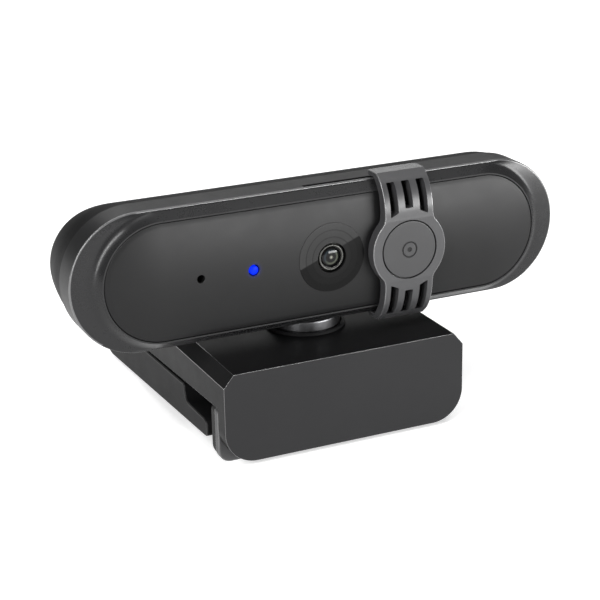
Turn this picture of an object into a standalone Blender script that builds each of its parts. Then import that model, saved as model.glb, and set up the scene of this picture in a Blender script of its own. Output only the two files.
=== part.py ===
"""A monitor-top webcam: a pill-shaped camera head with a sliding privacy cover, on a tilting and
swivelling neck, on a clip whose leg folds flat under its top plate. Metres, +Z up, front towards -Y.
The origin is on the table, under the middle of the object."""

from math import atan2, cos, pi, radians, sin, sqrt, tan

import bmesh
import bpy
from mathutils import Matrix

MM = 0.001

# Driving dimensions, in millimetres. Lengths along Y are counted from the head's front rim, and
# heights from the head's long axis, until ORIGIN moves everything onto the table.
BASE = -43.1  # the surface that the webcam stands on
DEPTH_FRONT = -10.9
HINGE_Y = 65.2
HINGE_Z = -34.5
KNUCKLE_R = 7.6
DEPTH_REAR = HINGE_Y + KNUCKLE_R
ORIGIN = (0, (DEPTH_FRONT + DEPTH_REAR) / 2, BASE)

HEAD_HALF_LENGTH = 60.0
HEAD_HALF_HEIGHT = 16.0
PANEL_HALF_LENGTH = 53.0
PANEL_HALF_HEIGHT = 13.47
PANEL_CROWN = -3.8
PARTING_Y = 7.0
WALL = 1.6
GAP = 0.3

LED_X = -18.9
MIC_X = -31.4
WINDOW_R = 8.0
BARREL_R = 3.2
BOARD_Y = 9.0
BOARD_T = 1.2
CASE_SCREW_X = 50.0
STANDOFF = (36.0, 7.5)

NECK_Y = 11.5
TILT_Z = -12.5
TONGUE_HALF = 3.2
NECK_R = 8.3

COVER_X = 18.1
COVER_TRAVEL = 18.1
STRAP_HALF_WIDTH = 6.1
COVER_RING_R = 9.2
COVER_DISC_R = 6.65
COVER_FRONT = -6.8
RAIL_SLOT_Y = (0.5, 1.7)

PLATE_TOP = -20.6
PLATE_HALF_WIDTH = 29.9
PLATE_REAR = 70.5
PLATE_SLOPE = tan(radians(2.0))
LIP_BLOCK = (DEPTH_FRONT, -6.8)
LIP_BLOCK_BOTTOM = -42.05
LEG_HALF_WIDTH = 30.3
LEG_FRONT = -0.6
LUG_HALF_WIDTH = 11.6
HINGE_PIN_R = 1.6
TRIPOD_Y = 32.0
TRIPOD_BORE_R = 3.1

ARC_STEPS = 12
SEGMENTS = 24

# Parts with a long chain of cuts, on which the exact solver leaves open edges.
LONG_CHAINS = {"front_shell", "rear_shell", "cover_strap", "clip_body", "clip_leg"}


def plate_bottom(y):
    """Height of the clip plate's underside, which falls gently towards the hinge."""
    return -29.6 - (y + 7.0) * PLATE_SLOPE


def leg_top(y):
    return plate_bottom(y) - 0.75


# ---------------------------------------------------------------- modelling helpers


def clear_scene():
    for obj in list(bpy.data.objects):
        bpy.data.objects.remove(obj)


def new_collection(name):
    made = bpy.data.collections.new(name)
    bpy.context.scene.collection.children.link(made)
    return made


def finish(material, colour, roughness, metallic=0.0):
    """A Principled material, made once and shared by the pieces of that finish."""
    found = bpy.data.materials.get(material)
    if found is None:
        found = bpy.data.materials.new(material)
        found.use_nodes = True
        shader = found.node_tree.nodes["Principled BSDF"]
        shader.inputs["Base Color"].default_value = (*colour, 1.0)
        shader.inputs["Roughness"].default_value = roughness
        shader.inputs["Metallic"].default_value = metallic
    return found


def place(mesh, name, material):
    """The object of a mesh drawn in millimetres about the head's centre, put in the object's frame."""
    mesh.transform(Matrix.Scale(MM, 4) @ Matrix.Translation([-value for value in ORIGIN]))
    obj = bpy.data.objects.new(name, mesh)
    if material is None:
        cutters.objects.link(obj)
        obj.hide_render = True
        obj.display_type = "WIRE"
    else:
        parts.objects.link(obj)
        mesh.materials.append(material)
        mesh.shade_smooth()
        mesh.set_sharp_from_angle(angle=radians(35))
    return obj


def loft(name, rings, material=None):
    """A closed solid through rings of equally many points, with flat ends."""
    mesh = bpy.data.meshes.new(name)
    shape = bmesh.new()
    rows = [[shape.verts.new(point) for point in ring] for ring in rings]
    count = len(rows[0])
    for row, following in zip(rows, rows[1:]):
        for i in range(count):
            j = (i + 1) % count
            shape.faces.new((row[i], row[j], following[j], following[i]))
    shape.faces.new(rows[0])
    shape.faces.new(rows[-1])
    bmesh.ops.recalc_face_normals(shape, faces=shape.faces)
    shape.to_mesh(mesh)
    shape.free()
    return place(mesh, name, material)


def stadium(half_length, half_height, y):
    """An upright pill outline at depth y."""
    straight = half_length - half_height
    points = []
    for side, start in ((1, -pi / 2), (-1, pi / 2)):
        for step in range(ARC_STEPS + 1):
            angle = start + pi * step / ARC_STEPS
            points.append((side * straight + half_height * cos(angle), y, half_height * sin(angle)))
    return points


def arc(centre, radius, start, end, steps=8):
    """Points of an arc, in degrees, as two coordinates."""
    turns = [radians(start + (end - start) * step / steps) for step in range(steps + 1)]
    return [(centre[0] + radius * cos(turn), centre[1] + radius * sin(turn)) for turn in turns]


def extruded_x(name, outline, low, high, material=None):
    """A side outline of (y, z) points pulled along X."""
    return loft(name, [[(x, y, z) for y, z in outline] for x in (low, high)], material)


def extruded_y(name, outline, low, high, material=None):
    """A front outline of (x, z) points pulled along Y."""
    return loft(name, [[(x, y, z) for x, z in outline] for y in (low, high)], material)


def block(name, x, y, z, material=None):
    """A box between pairs of limits."""
    mesh = bpy.data.meshes.new(name)
    shape = bmesh.new()
    bmesh.ops.create_cube(shape, size=1.0)
    sizes = [high - low for low, high in (x, y, z)]
    middle = [(high + low) / 2 for low, high in (x, y, z)]
    bmesh.ops.scale(shape, vec=sizes, verts=shape.verts)
    bmesh.ops.translate(shape, vec=middle, verts=shape.verts)
    shape.to_mesh(mesh)
    shape.free()
    return place(mesh, name, material)


def turned(name, profile, axis, centre, material=None, ring=False, segments=SEGMENTS):
    """A lathe shape. The profile's (radius, position) points run down the outer side, from the high
    end of the axis, and back up the bore when it is a ring. Screw sweeps it round local Z."""
    mesh = bpy.data.meshes.new(name)
    count = len(profile)
    edges = [(i, i + 1) for i in range(count - 1)] + ([(count - 1, 0)] if ring else [])
    mesh.from_pydata([(r * MM, 0, h * MM) for r, h in profile], edges, [])
    obj = bpy.data.objects.new(name, mesh)
    parts.objects.link(obj)
    screw = obj.modifiers.new("Lathe", "SCREW")
    screw.steps = screw.render_steps = segments
    screw.use_merge_vertices = True
    screw.merge_threshold = 1e-6
    solid = bpy.data.meshes.new_from_object(obj.evaluated_get(bpy.context.evaluated_depsgraph_get()))
    bpy.data.objects.remove(obj)
    bpy.data.meshes.remove(mesh)
    turn = {"X": Matrix.Rotation(pi / 2, 4, "Y"), "Y": Matrix.Rotation(-pi / 2, 4, "X"), "Z": Matrix()}
    solid.transform(Matrix.Scale(1 / MM, 4))
    solid.transform(Matrix.Translation(centre) @ turn[axis])
    tidy = bmesh.new()
    tidy.from_mesh(solid)
    bmesh.ops.remove_doubles(tidy, verts=tidy.verts, dist=1e-4)
    bmesh.ops.recalc_face_normals(tidy, faces=tidy.faces)
    tidy.to_mesh(solid)
    tidy.free()
    solid.name = name
    return place(solid, name, material)


def rod(name, radius, low, high, axis, centre, material=None, segments=SEGMENTS):
    profile = [(0, high), (radius, high), (radius, low), (0, low)]
    return turned(name, profile, axis, centre, material, segments=segments)


def washer(name, outer, inner, low, high, axis, centre, material):
    profile = [(outer, high), (outer, low), (inner, low), (inner, high)]
    return turned(name, profile, axis, centre, material, ring=True)


def screw(name, head_r, shaft_r, head, tip, axis, centre, material):
    """A pan-head screw: head is the head's (inner, outer) ends and tip is the shaft's far end."""
    seat, crown = head
    points = [(0, crown), (head_r, crown), (head_r, seat), (shaft_r, seat), (shaft_r, tip), (0, tip)]
    return turned(name, points, axis, centre, material, segments=12)


def combine(target, tool, operation="DIFFERENCE"):
    """Cuts a helper from a part, or joins one to it."""
    modifier = target.modifiers.new(tool.name, "BOOLEAN")
    modifier.operation = operation
    modifier.object = tool
    if target.name in LONG_CHAINS:
        modifier.solver = "MANIFOLD"
    return target


def cut(target, *tools):
    for tool in tools:
        combine(target, tool)


def join(target, *tools):
    for tool in tools:
        combine(target, tool, "UNION")


def hang_on(name, position, pieces):
    """Parents pieces to an empty that stands on their joint's axis."""
    empty = bpy.data.objects.new(name, None)
    parts.objects.link(empty)
    empty.empty_display_size = 0.01
    empty.location = [(value - base) * MM for value, base in zip(position, ORIGIN)]
    bpy.context.view_layer.update()
    for piece in pieces:
        piece.parent = empty
        piece.matrix_parent_inverse = empty.matrix_world.inverted()
    return empty


clear_scene()
parts = new_collection("Webcam")
cutters = new_collection("Cutters")

CASE = finish("case_plastic", (0.045, 0.046, 0.048), 0.42)
PANEL = finish("panel_plastic", (0.05, 0.05, 0.053), 0.35)
CLIP = finish("clip_plastic", (0.042, 0.042, 0.044), 0.5)
COVER = finish("cover_plastic", (0.13, 0.13, 0.135), 0.38)
GLOSS = finish("window_gloss", (0.01, 0.01, 0.011), 0.05)
GLASS = finish("lens_glass", (0.02, 0.025, 0.05), 0.03)
SILVER = finish("cast_silver", (0.45, 0.45, 0.46), 0.3, 1.0)
STEEL = finish("steel", (0.55, 0.55, 0.56), 0.3, 1.0)
BRASS = finish("brass", (0.75, 0.56, 0.25), 0.3, 1.0)
RUBBER = finish("rubber", (0.02, 0.02, 0.021), 0.8)
BOARD = finish("circuit_board", (0.01, 0.12, 0.05), 0.5)
CHIP = finish("chip_epoxy", (0.02, 0.02, 0.02), 0.45)
SOCKET = finish("socket_nylon", (0.8, 0.78, 0.7), 0.5)
BLUE = finish("light_pipe", (0.02, 0.08, 1.0), 0.2)


# ---------------------------------------------------------------- camera head


def front_shell():
    """The bezel half of the case: side wall, sloped rim, panel seat, bosses and standoffs."""
    seat_y = -0.9
    back_y = 0.4
    shell = loft(
        "front_shell",
        [
            stadium(HEAD_HALF_LENGTH, HEAD_HALF_HEIGHT, PARTING_Y),
            stadium(HEAD_HALF_LENGTH, HEAD_HALF_HEIGHT, 0.0),
            stadium(55.2, 15.2, -0.55),
            stadium(PANEL_HALF_LENGTH + 0.4, PANEL_HALF_HEIGHT + 0.4, -2.5),
        ],
        CASE,
    )
    seat = [
        stadium(PANEL_HALF_LENGTH + GAP, PANEL_HALF_HEIGHT + GAP, y) for y in (seat_y, PANEL_CROWN - 2)
    ]
    hollow = [
        stadium(HEAD_HALF_LENGTH - WALL, HEAD_HALF_HEIGHT - WALL, y) for y in (back_y, PARTING_Y + 2)
    ]
    cut(shell, loft("panel_seat", seat), loft("front_hollow", hollow))
    for side, label in ((-1, "left"), (1, "right")):
        boss_at = (side * CASE_SCREW_X, 0, 0)
        join(shell, rod(f"case_boss_{label}", 2.8, back_y - 0.8, 16.6, "Y", boss_at))
        cut(shell, rod(f"case_pilot_{label}", 1.1, 6.0, 18.0, "Y", boss_at, segments=16))
        post_at = (side * STANDOFF[0], 0, STANDOFF[1])
        join(shell, rod(f"board_post_{label}", 2.4, back_y - 0.8, BOARD_Y - GAP, "Y", post_at))
        cut(shell, rod(f"board_pilot_{label}", 0.95, 3.0, 12.0, "Y", post_at, segments=16))
        slot_x = (COVER_X - COVER_TRAVEL - 4.6, COVER_X + 4.8)
        slot_z = sorted((side * 13.0, side * 18.0))
        cut(shell, block(f"rail_slot_{label}", slot_x, RAIL_SLOT_Y, slot_z))
    cut(
        shell,
        rod("barrel_hole", 4.2, -3, 3, "Y", (0, 0, 0)),
        rod("led_hole", 1.35, -3, 3, "Y", (LED_X, 0, 0), segments=16),
        rod("mic_hole", 0.9, -3, 3, "Y", (MIC_X, 0, 0), segments=16),
    )
    return shell


def front_panel():
    """The crowned face that sits in the bezel."""
    half = (PANEL_HALF_LENGTH, PANEL_HALF_HEIGHT)
    crown = [(0.0, -1.2), (0.0, -2.5), (1.8, -3.1), (5.0, -3.6), (9.0, PANEL_CROWN)]
    panel = loft("front_panel", [stadium(half[0] - i, half[1] - i, y) for i, y in crown], PANEL)
    cut(
        panel,
        rod("window_hole", WINDOW_R + 0.2, -6, 2, "Y", (0, 0, 0)),
        rod("panel_led_hole", 1.35, -6, 2, "Y", (LED_X, 0, 0), segments=16),
        rod("panel_mic_hole", 0.9, -6, 2, "Y", (MIC_X, 0, 0), segments=16),
    )
    return panel


def rear_shell():
    """The back half of the case, with screw sleeves, cable hole and the pocket for the neck."""
    outer = [(7.3, 59.7, 15.75), (14.0, 59.1, 14.5), (20.5, 57.9, 12.2), (22.6, 55.9, 10.3)]
    outer += [(23.8, 52.8, 7.6), (24.2, 49.0, 4.0)]
    inner = [(5.0, 58.1, 14.15), (14.0, 57.5, 12.9), (19.8, 56.2, 10.8), (21.6, 53.9, 8.6)]
    inner += [(22.4, 50.5, 5.6)]
    shell = loft("rear_shell", [stadium(length, height, y) for y, length, height in outer], CASE)
    cut(shell, loft("rear_hollow", [stadium(length, height, y) for y, length, height in inner]))
    for side, label in ((-1, "left"), (1, "right")):
        centre = (side * CASE_SCREW_X, 0, 0)
        join(shell, rod(f"sleeve_{label}", 3.4, 17.0, 23.0, "Y", centre))
        cut(shell, rod(f"head_bore_{label}", 2.1, 18.4, 26.0, "Y", centre, segments=16))
        cut(shell, rod(f"shaft_bore_{label}", 1.15, 16.0, 19.0, "Y", centre, segments=16))
        post_at = (side * 10.6, NECK_Y, 0)
        join(shell, rod(f"bracket_post_{label}", 2.2, -14.5, -9.1, "Z", post_at))
        cut(shell, rod(f"bracket_pilot_{label}", 0.95, -14.2, -8.0, "Z", post_at, segments=16))
    cut(
        shell,
        block("neck_pocket", (-7.8, 7.8), (5.0, 17.0), (-20.0, -12.0)),
        rod("cable_hole", 3.4, 18.0, 28.0, "Y", (0, 0, 3.0)),
    )
    return shell


def camera_module():
    """Window, lens stack, sensor and board, in order from the front."""
    window = [(WINDOW_R, -1.2), (WINDOW_R, -3.9), (3.5, -3.9), (3.5, -1.2)]
    barrel = [(BARREL_R, 6.5), (BARREL_R, -2.8), (2.5, -2.8), (2.5, -2.4), (1.9, -2.4), (1.9, 6.5)]
    dome = [(0, -2.6), (2.35, -2.6), (2.35, -2.8), (1.9, -3.15), (1.1, -3.4), (0, -3.5)]
    holder = block("lens_holder", (-6, 6), (4.0, 8.7), (-6, 6), CHIP)
    cut(holder, rod("holder_bore", BARREL_R + 0.1, 3, 10, "Y", (0, 0, 0)))
    cut(holder, block("sensor_room", (-4.4, 4.4), (7.4, 10), (-4.4, 4.4)))
    board_z = (-6.2, 11.0)
    board = block("main_board", (-42, 42), (BOARD_Y, BOARD_Y + BOARD_T), board_z, BOARD)
    for side, label in ((-1, "left"), (1, "right")):
        centre = (side * STANDOFF[0], 0, STANDOFF[1])
        cut(board, rod(f"board_hole_{label}", 1.2, 8, 12, "Y", centre, segments=16))
    back = BOARD_Y + BOARD_T + 0.1
    return [
        turned("lens_window", window, "Y", (0, 0, 0), GLOSS, ring=True, segments=36),
        washer("lens_trim_ring", 3.3, 2.5, -3.6, -2.95, "Y", (0, 0, 0), SILVER),
        turned("lens_front_glass", dome, "Y", (0, 0, 0), GLASS),
        turned("lens_barrel", barrel, "Y", (0, 0, 0), CHIP, ring=True),
        rod("lens_rear_glass", 1.8, 4.6, 5.6, "Y", (0, 0, 0), GLASS),
        holder,
        block("image_sensor", (-3.5, 3.5), (7.8, BOARD_Y - 0.1), (-3.5, 3.5), CHIP),
        board,
        block("image_processor", (17, 27), (back, back + 1.2), (-2.5, 7.5), CHIP),
        block("cable_socket", (-5, 5), (back, back + 4), (0.5, 5.5), SOCKET),
    ]


def lights_and_sound():
    """The status light and the microphone, each between the board and its hole in the panel."""
    light = [(0, 7.3), (1.05, 7.3), (1.05, -3.6), (0.8, -3.85), (0, -3.9)]
    chip_y = (7.8, BOARD_Y - 0.1)
    return [
        turned("led_light_pipe", light, "Y", (LED_X, 0, 0), BLUE, segments=16),
        block("led_chip", (LED_X - 1.6, LED_X + 1.6), chip_y, (-0.8, 0.8), SOCKET),
        washer("mic_boot", 2.4, 0.9, 0.7, 7.5, "Y", (MIC_X, 0, 0), RUBBER),
        block("microphone", (MIC_X - 1.9, MIC_X + 1.9), chip_y, (-1.5, 1.5), STEEL),
    ]


def head_hardware():
    """The cable gland, the case and board screws, and the bracket that holds the neck's pin."""
    gland = [(4.6, 25.3), (4.6, 24.5), (3.1, 24.5), (3.1, 21.5), (1.8, 21.5), (1.8, 25.3)]
    bracket = block("tilt_bracket", (-13, 13), (7.7, 15.3), (-8.8, -7.6), STEEL)
    pieces = [turned("cable_gland", gland, "Y", (0, 0, 3.0), RUBBER, ring=True), bracket]
    for side, label in ((-1, "left"), (1, "right")):
        ear_x = sorted((side * 3.8, side * 5.8))
        post_at = (side * 10.6, NECK_Y, 0)
        join(bracket, block(f"ear_{label}", ear_x, (7.7, 15.3), (-14.6, -8.2)))
        cut(bracket, rod(f"bracket_hole_{label}", 1.1, -9.5, -7, "Z", post_at, segments=16))
        board_at = (side * STANDOFF[0], 0, STANDOFF[1])
        head_end = BOARD_Y + BOARD_T + 0.15
        washer_x = sorted((side * 2.75, side * 3.65))
        pieces += [
            screw(
                f"case_screw_{label}", 1.8, 0.85, (18.7, 20.3), 8.0, "Y",
                (side * CASE_SCREW_X, 0, 0), STEEL,
            ),
            screw(
                f"board_screw_{label}", 1.7, 0.7, (head_end, head_end + 1.1), 4.0, "Y",
                board_at, STEEL,
            ),
            screw(f"bracket_screw_{label}", 1.7, 0.7, (-7.45, -6.5), -13.6, "Z", post_at, STEEL),
            washer(f"tilt_washer_{label}", 2.9, 1.3, *washer_x, "X", (0, NECK_Y, TILT_Z), SILVER),
        ]
    cut(bracket, rod("pin_hole", 1.28, -9, 9, "X", (0, NECK_Y, TILT_Z)))
    pin = [(0, 7.4), (1.2, 7.4), (1.2, -6.1), (2.0, -6.1), (2.0, -7.3), (0, -7.3)]
    nut = washer("tilt_nut", 2.15, 1.3, 6.05, 7.3, "X", (0, NECK_Y, TILT_Z), STEEL)
    return pieces + [turned("tilt_pin", pin, "X", (0, NECK_Y, TILT_Z), STEEL), nut]


# ---------------------------------------------------------------- sliding privacy cover


def strap_outline(front, back, top, reach):
    """Half of the strap's side outline, from its middle over the bend to the rear edge."""
    bend = [(front, 7.0), (front + 0.3, 10.0), (front + 1.2, 13.0), (front + 2.6, top - 2.1)]
    return bend + [(back, top), (reach, top)]


def privacy_cover():
    """The strap hooks over the head's top and bottom edges and slides along their rail slots."""
    reach = 1.95
    outer = strap_outline(COVER_FRONT, -2.1, 17.5, reach)
    inner = [(-4.1, 7.0), (-3.95, 10.0), (-3.3, 12.8), (-1.95, 15.0), (-0.7, 16.3), (reach, 16.3)]
    side = outer + inner[::-1]
    side += [(y, -z) for y, z in inner]
    side += [(y, -z) for y, z in outer[::-1]]
    left, right = COVER_X - STRAP_HALF_WIDTH, COVER_X + STRAP_HALF_WIDTH
    strap = extruded_x("cover_strap", side, left, right, COVER)
    ring = [(0, -4.1), (COVER_RING_R, -4.1), (COVER_RING_R, COVER_FRONT), (0, COVER_FRONT)]
    join(strap, turned("cover_ring", ring, "Y", (COVER_X, 0, 0)))
    cut(strap, rod("disc_seat", COVER_DISC_R + GAP, -9, -5.5, "Y", (COVER_X, 0, 0)))
    for side_z, label in ((1, "top"), (-1, "bottom")):
        lug_z = sorted((side_z * 13.6, side_z * 16.9))
        foot_z = sorted((side_z * 13.3, side_z * 14.1))
        lug_x = (COVER_X - 4, COVER_X + 4)
        join(strap, block(f"lug_{label}", lug_x, (0.75, 1.45), lug_z))
        join(strap, block(f"foot_{label}", lug_x, (0.75, 2.6), foot_z))
        for slot in (-1, 0, 1):
            middle = COVER_X + slot * 3.7
            inner_z = sqrt(COVER_RING_R**2 - (slot * 3.7) ** 2) + 0.6 * (slot == 0)
            slot_z = sorted((side_z * inner_z, side_z * 14.9))
            cut(strap, block(f"slot_{label}_{slot + 1}", (middle - 0.75, middle + 0.75), (-9, -1.5), slot_z))
    disc = rod("cover_disc", COVER_DISC_R, COVER_FRONT, -5.7, "Y", (COVER_X, 0, 0), COVER)
    return [strap, disc]


# ---------------------------------------------------------------- neck


def neck():
    """A die-cast foot with a tongue for the tilt pin and a shaft through the clip plate."""
    axis = (0, NECK_Y, 0)
    foot = [(0, -17.4), (NECK_R - 0.4, -17.4), (NECK_R, -17.8), (NECK_R, -20.3), (2.6, -20.3)]
    foot += [(2.6, -26.0), (0, -26.0)]
    body = turned("swivel_neck", foot, "Z", axis, SILVER)
    tip = arc((NECK_Y, TILT_Z), TONGUE_HALF, 0, 180, 12)
    tongue = [(NECK_Y - TONGUE_HALF, -18.0), (NECK_Y + TONGUE_HALF, -18.0), *tip]
    join(body, extruded_x("tongue", tongue, -2.6, 2.6))
    cut(body, rod("tongue_bore", 1.28, -5, 5, "X", (0, NECK_Y, TILT_Z)))
    cut(body, rod("neck_pilot", 1.3, -30, -20, "Z", axis, segments=16))
    return [
        body,
        screw("swivel_screw", 3.2, 1.1, (-27.0, -28.2), -21.0, "Z", axis, STEEL),
        washer("swivel_washer", 4.8, 1.4, -26.8, -26.2, "Z", axis, STEEL),
    ]


# ---------------------------------------------------------------- clip


def clip_body():
    """Top plate and front block in one moulding, hollow from below, with the hinge lug."""
    half, bottom, radius = PLATE_HALF_WIDTH, LIP_BLOCK_BOTTOM, 7.6
    chamfer = [(half, PLATE_TOP - 2.9), (half - 2.4, PLATE_TOP)]
    chamfer += [(-x, z) for x, z in chamfer[::-1]]
    front = arc((-half + radius, bottom + radius), radius, 180, 270)
    front += arc((half - radius, bottom + radius), radius, 270, 360) + chamfer
    body = extruded_y("clip_body", front, DEPTH_FRONT, PLATE_REAR, CLIP)
    relief = KNUCKLE_R + 0.6
    low = atan2(plate_bottom(57.4) - HINGE_Z, 57.4 - HINGE_Y)
    high = atan2(sqrt(relief**2 - (PLATE_REAR - HINGE_Y) ** 2), PLATE_REAR - HINGE_Y)
    hood = arc((HINGE_Y, HINGE_Z), relief, high * 180 / pi, low * 180 / pi)
    side = [(LIP_BLOCK[1], bottom - 1), (DEPTH_FRONT - 1, bottom - 1), (DEPTH_FRONT - 1, PLATE_TOP + 1)]
    side += [(64.0, PLATE_TOP + 1), (65.5, PLATE_TOP), (69.3, PLATE_TOP - 1.6), (PLATE_REAR, PLATE_TOP - 4.2)]
    side += hood + [(LIP_BLOCK[1], plate_bottom(LIP_BLOCK[1]))]
    combine(body, extruded_x("clip_side", side, -half - 2, half + 2), "INTERSECT")
    cut(body, block("plate_hollow", (-27.4, 27.4), (-5, 54), (-36, PLATE_TOP - 2.2)))
    axis = (0, NECK_Y, 0)
    join(body, rod("swivel_boss", 6.2, -25.2, -22.0, "Z", axis))
    cut(body, rod("swivel_bore", 2.68, -30, -18, "Z", axis))
    for x in (-22, 22):
        for y in (2, 48):
            post_end = plate_bottom(y) + 1.9
            join(body, rod(f"cover_post_{x}_{y}", 2.6, post_end, -22.0, "Z", (x, y, 0), segments=16))
            cut(body, rod(f"cover_pilot_{x}_{y}", 0.95, -36, -24.0, "Z", (x, y, 0), segments=16))
    lug = [(HINGE_Y - 5, -25.0), *arc((HINGE_Y, HINGE_Z), 6.4, 180, 360, 16), (HINGE_Y + 5, -25.0)]
    join(body, extruded_x("hinge_lug", lug, -LUG_HALF_WIDTH, LUG_HALF_WIDTH))
    cut(body, rod("lug_bore", HINGE_PIN_R + 0.08, -14, 14, "X", (0, HINGE_Y, HINGE_Z)))
    return body


def sloping_sheet(name, x, y, top, thickness, material=None):
    """A flat sheet that follows the plate's sloping underside, top being its height at each y."""
    outline = [(y[0], top(y[0])), (y[1], top(y[1]))]
    outline += [(depth, height - thickness) for depth, height in outline[::-1]]
    return extruded_x(name, outline, x[0], x[1], material)


def underside_cover():
    cover = sloping_sheet(
        "underside_cover", (-27.1, 27.1), (-4.7, 53.7), lambda y: plate_bottom(y) + 1.6, 1.5, CLIP
    )
    pieces = [cover]
    for x, x_label in ((-22, "left"), (22, "right")):
        for y, y_label in ((2, "front"), (48, "rear")):
            seat = plate_bottom(y) + 1.0
            label = f"{y_label}_{x_label}"
            cut(cover, rod(f"cover_hole_{label}", 1.1, -36, -24, "Z", (x, y, 0), segments=16))
            cut(cover, rod(f"cover_sink_{label}", 2.2, -36, seat, "Z", (x, y, 0), segments=16))
            head = (seat - 0.1, seat - 0.75)
            name = f"cover_screw_{label}"
            pieces.append(screw(name, 1.9, 0.7, head, seat + 4.0, "Z", (x, y, 0), STEEL))
    return pieces


def rounded_sheet(name, half, low, high, y, corner, material):
    """An upright sheet with round lower corners."""
    outline = arc((-half + corner, low + corner), corner, 180, 270)
    outline += arc((half - corner, low + corner), corner, 270, 360)
    outline += arc((half - 1.2, high - 1.2), 1.2, 0, 90, 3)
    outline += arc((-half + 1.2, high - 1.2), 1.2, 90, 180, 3)
    return extruded_y(name, outline, *y, material)


def lip():
    """The stiff backing plate on the front block and the rubber pad that grips the screen."""
    return [
        rounded_sheet("lip_plate", 29.9, BASE, -29.95, (-6.65, -4.5), 3.0, CLIP),
        rounded_sheet("lip_pad", 29.8, BASE, -30.2, (-4.35, -2.3), 3.4, RUBBER),
    ]


def clip_hardware():
    """The neck's collar and spring washer, and the washers on both sides of the hinge lug."""
    axis = (0, NECK_Y, 0)
    washer("swivel_collar", 9.5, 8.6, -20.45, -19.7, "Z", axis, CLIP)
    washer("wave_washer", 4.6, 2.75, -25.9, -25.4, "Z", axis, STEEL)
    for side, label in ((-1, "left"), (1, "right")):
        x = sorted((side * (LUG_HALF_WIDTH + 0.15), side * (LUG_HALF_WIDTH + 0.75)))
        centre = (0, HINGE_Y, HINGE_Z)
        washer(f"hinge_washer_{label}", 5.5, HINGE_PIN_R + 0.1, *x, "X", centre, STEEL)


# ---------------------------------------------------------------- folding leg


def clip_leg():
    """The leg hangs from the hinge pin and folds up under the plate. Its front end is thinned on
    top so that a finger can pull it open."""
    meets = 57.85
    knuckle_start = atan2(leg_top(meets) - HINGE_Z, meets - HINGE_Y) * 180 / pi
    side = [(LEG_FRONT + 0.9, -39.1), (LEG_FRONT, -38.2), (LEG_FRONT, -36.9)]
    side += [(LEG_FRONT + 0.6, -35.6), (LEG_FRONT + 2.0, -35.0), (10.4, -35.0), (12.0, -34.4)]
    side += [(12.8, -33.0), (13.1, leg_top(14.0) - 0.8), (14.0, leg_top(14.0))]
    side += arc((HINGE_Y, HINGE_Z), KNUCKLE_R, knuckle_start, -90, 20)
    leg = extruded_x("clip_leg", side, -LEG_HALF_WIDTH, LEG_HALF_WIDTH, CLIP)
    cut(leg, block("leg_hollow", (-27.3, 27.3), (16, 54), (-37.6, -30)))
    tripod_at = (0, TRIPOD_Y, 0)
    join(leg, rod("tripod_boss", 7.6, BASE, -34.2, "Z", tripod_at))
    insert_r = 4.6
    cut(leg, rod("insert_bore", insert_r + 0.1, BASE - 2, -35.0, "Z", tripod_at))
    gap_x = LUG_HALF_WIDTH + 0.9
    cut(leg, block("lug_gap", (-gap_x, gap_x), (HINGE_Y - 7.4, HINGE_Y + 10), (-46, -24)))
    cut(leg, rod("pin_bore", HINGE_PIN_R + 0.08, -25.3, 32, "X", (0, HINGE_Y, HINGE_Z)))
    cut(leg, rod("pin_head_bore", 2.6, 29.0, 32, "X", (0, HINGE_Y, HINGE_Z)))
    cover = sloping_sheet("leg_cover", (-27.0, 27.0), (16.3, 53.7), leg_top, 1.5, CLIP)
    cut(cover, sloping_sheet("pad_seat", (-22, 22), (20, 46), lambda y: leg_top(y) + 1, 1.7))
    pad = sloping_sheet("leg_pad", (-21.7, 21.7), (20.3, 45.7), lambda y: leg_top(y) + 0.1, 0.7, RUBBER)
    insert = [(insert_r, -35.2), (insert_r, BASE + 0.1), (TRIPOD_BORE_R, BASE + 0.1), (TRIPOD_BORE_R, -35.2)]
    pieces = [leg, cover, pad, turned("tripod_insert", insert, "Z", tripod_at, BRASS, ring=True)]
    pin = [(0, 30.1), (2.4, 30.1), (2.4, 29.2), (HINGE_PIN_R, 29.2), (HINGE_PIN_R, -25), (0, -25)]
    pieces.append(turned("hinge_pin", pin, "X", (0, HINGE_Y, HINGE_Z), STEEL))
    for side_x, label in ((-1, "left"), (1, "right")):
        centre = (side_x * 21, 54.5, 0)
        cut(leg, rod(f"foot_seat_{label}", 4.3, BASE - 1, -40.7, "Z", centre))
        pieces.append(rod(f"rubber_foot_{label}", 4.0, BASE, -41.0, "Z", centre, RUBBER))
    return pieces


head_parts = [front_shell(), front_panel(), rear_shell()]
head_parts += camera_module() + lights_and_sound() + head_hardware()
cover_parts = privacy_cover()
neck_parts = neck()
clip_body()
underside_cover()
lip()
clip_hardware()
leg_parts = clip_leg()

hang_on("swivel_axis", (0, NECK_Y, PLATE_TOP), neck_parts)
hang_on("tilt_axis", (0, NECK_Y, TILT_Z), head_parts)
hang_on("cover_slide", (COVER_X, 0, 0), cover_parts)
hang_on("leg_hinge", (0, HINGE_Y, HINGE_Z), leg_parts)
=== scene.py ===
"""A monitor-top webcam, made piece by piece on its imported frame: the pill-shaped camera head with
its sliding privacy cover, the swivelling neck, and the clip whose leg folds under its top plate."""

from math import cos, pi, radians, sin, sqrt, tan

import bmesh
import bpy
from mathutils import Matrix, Vector


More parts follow.
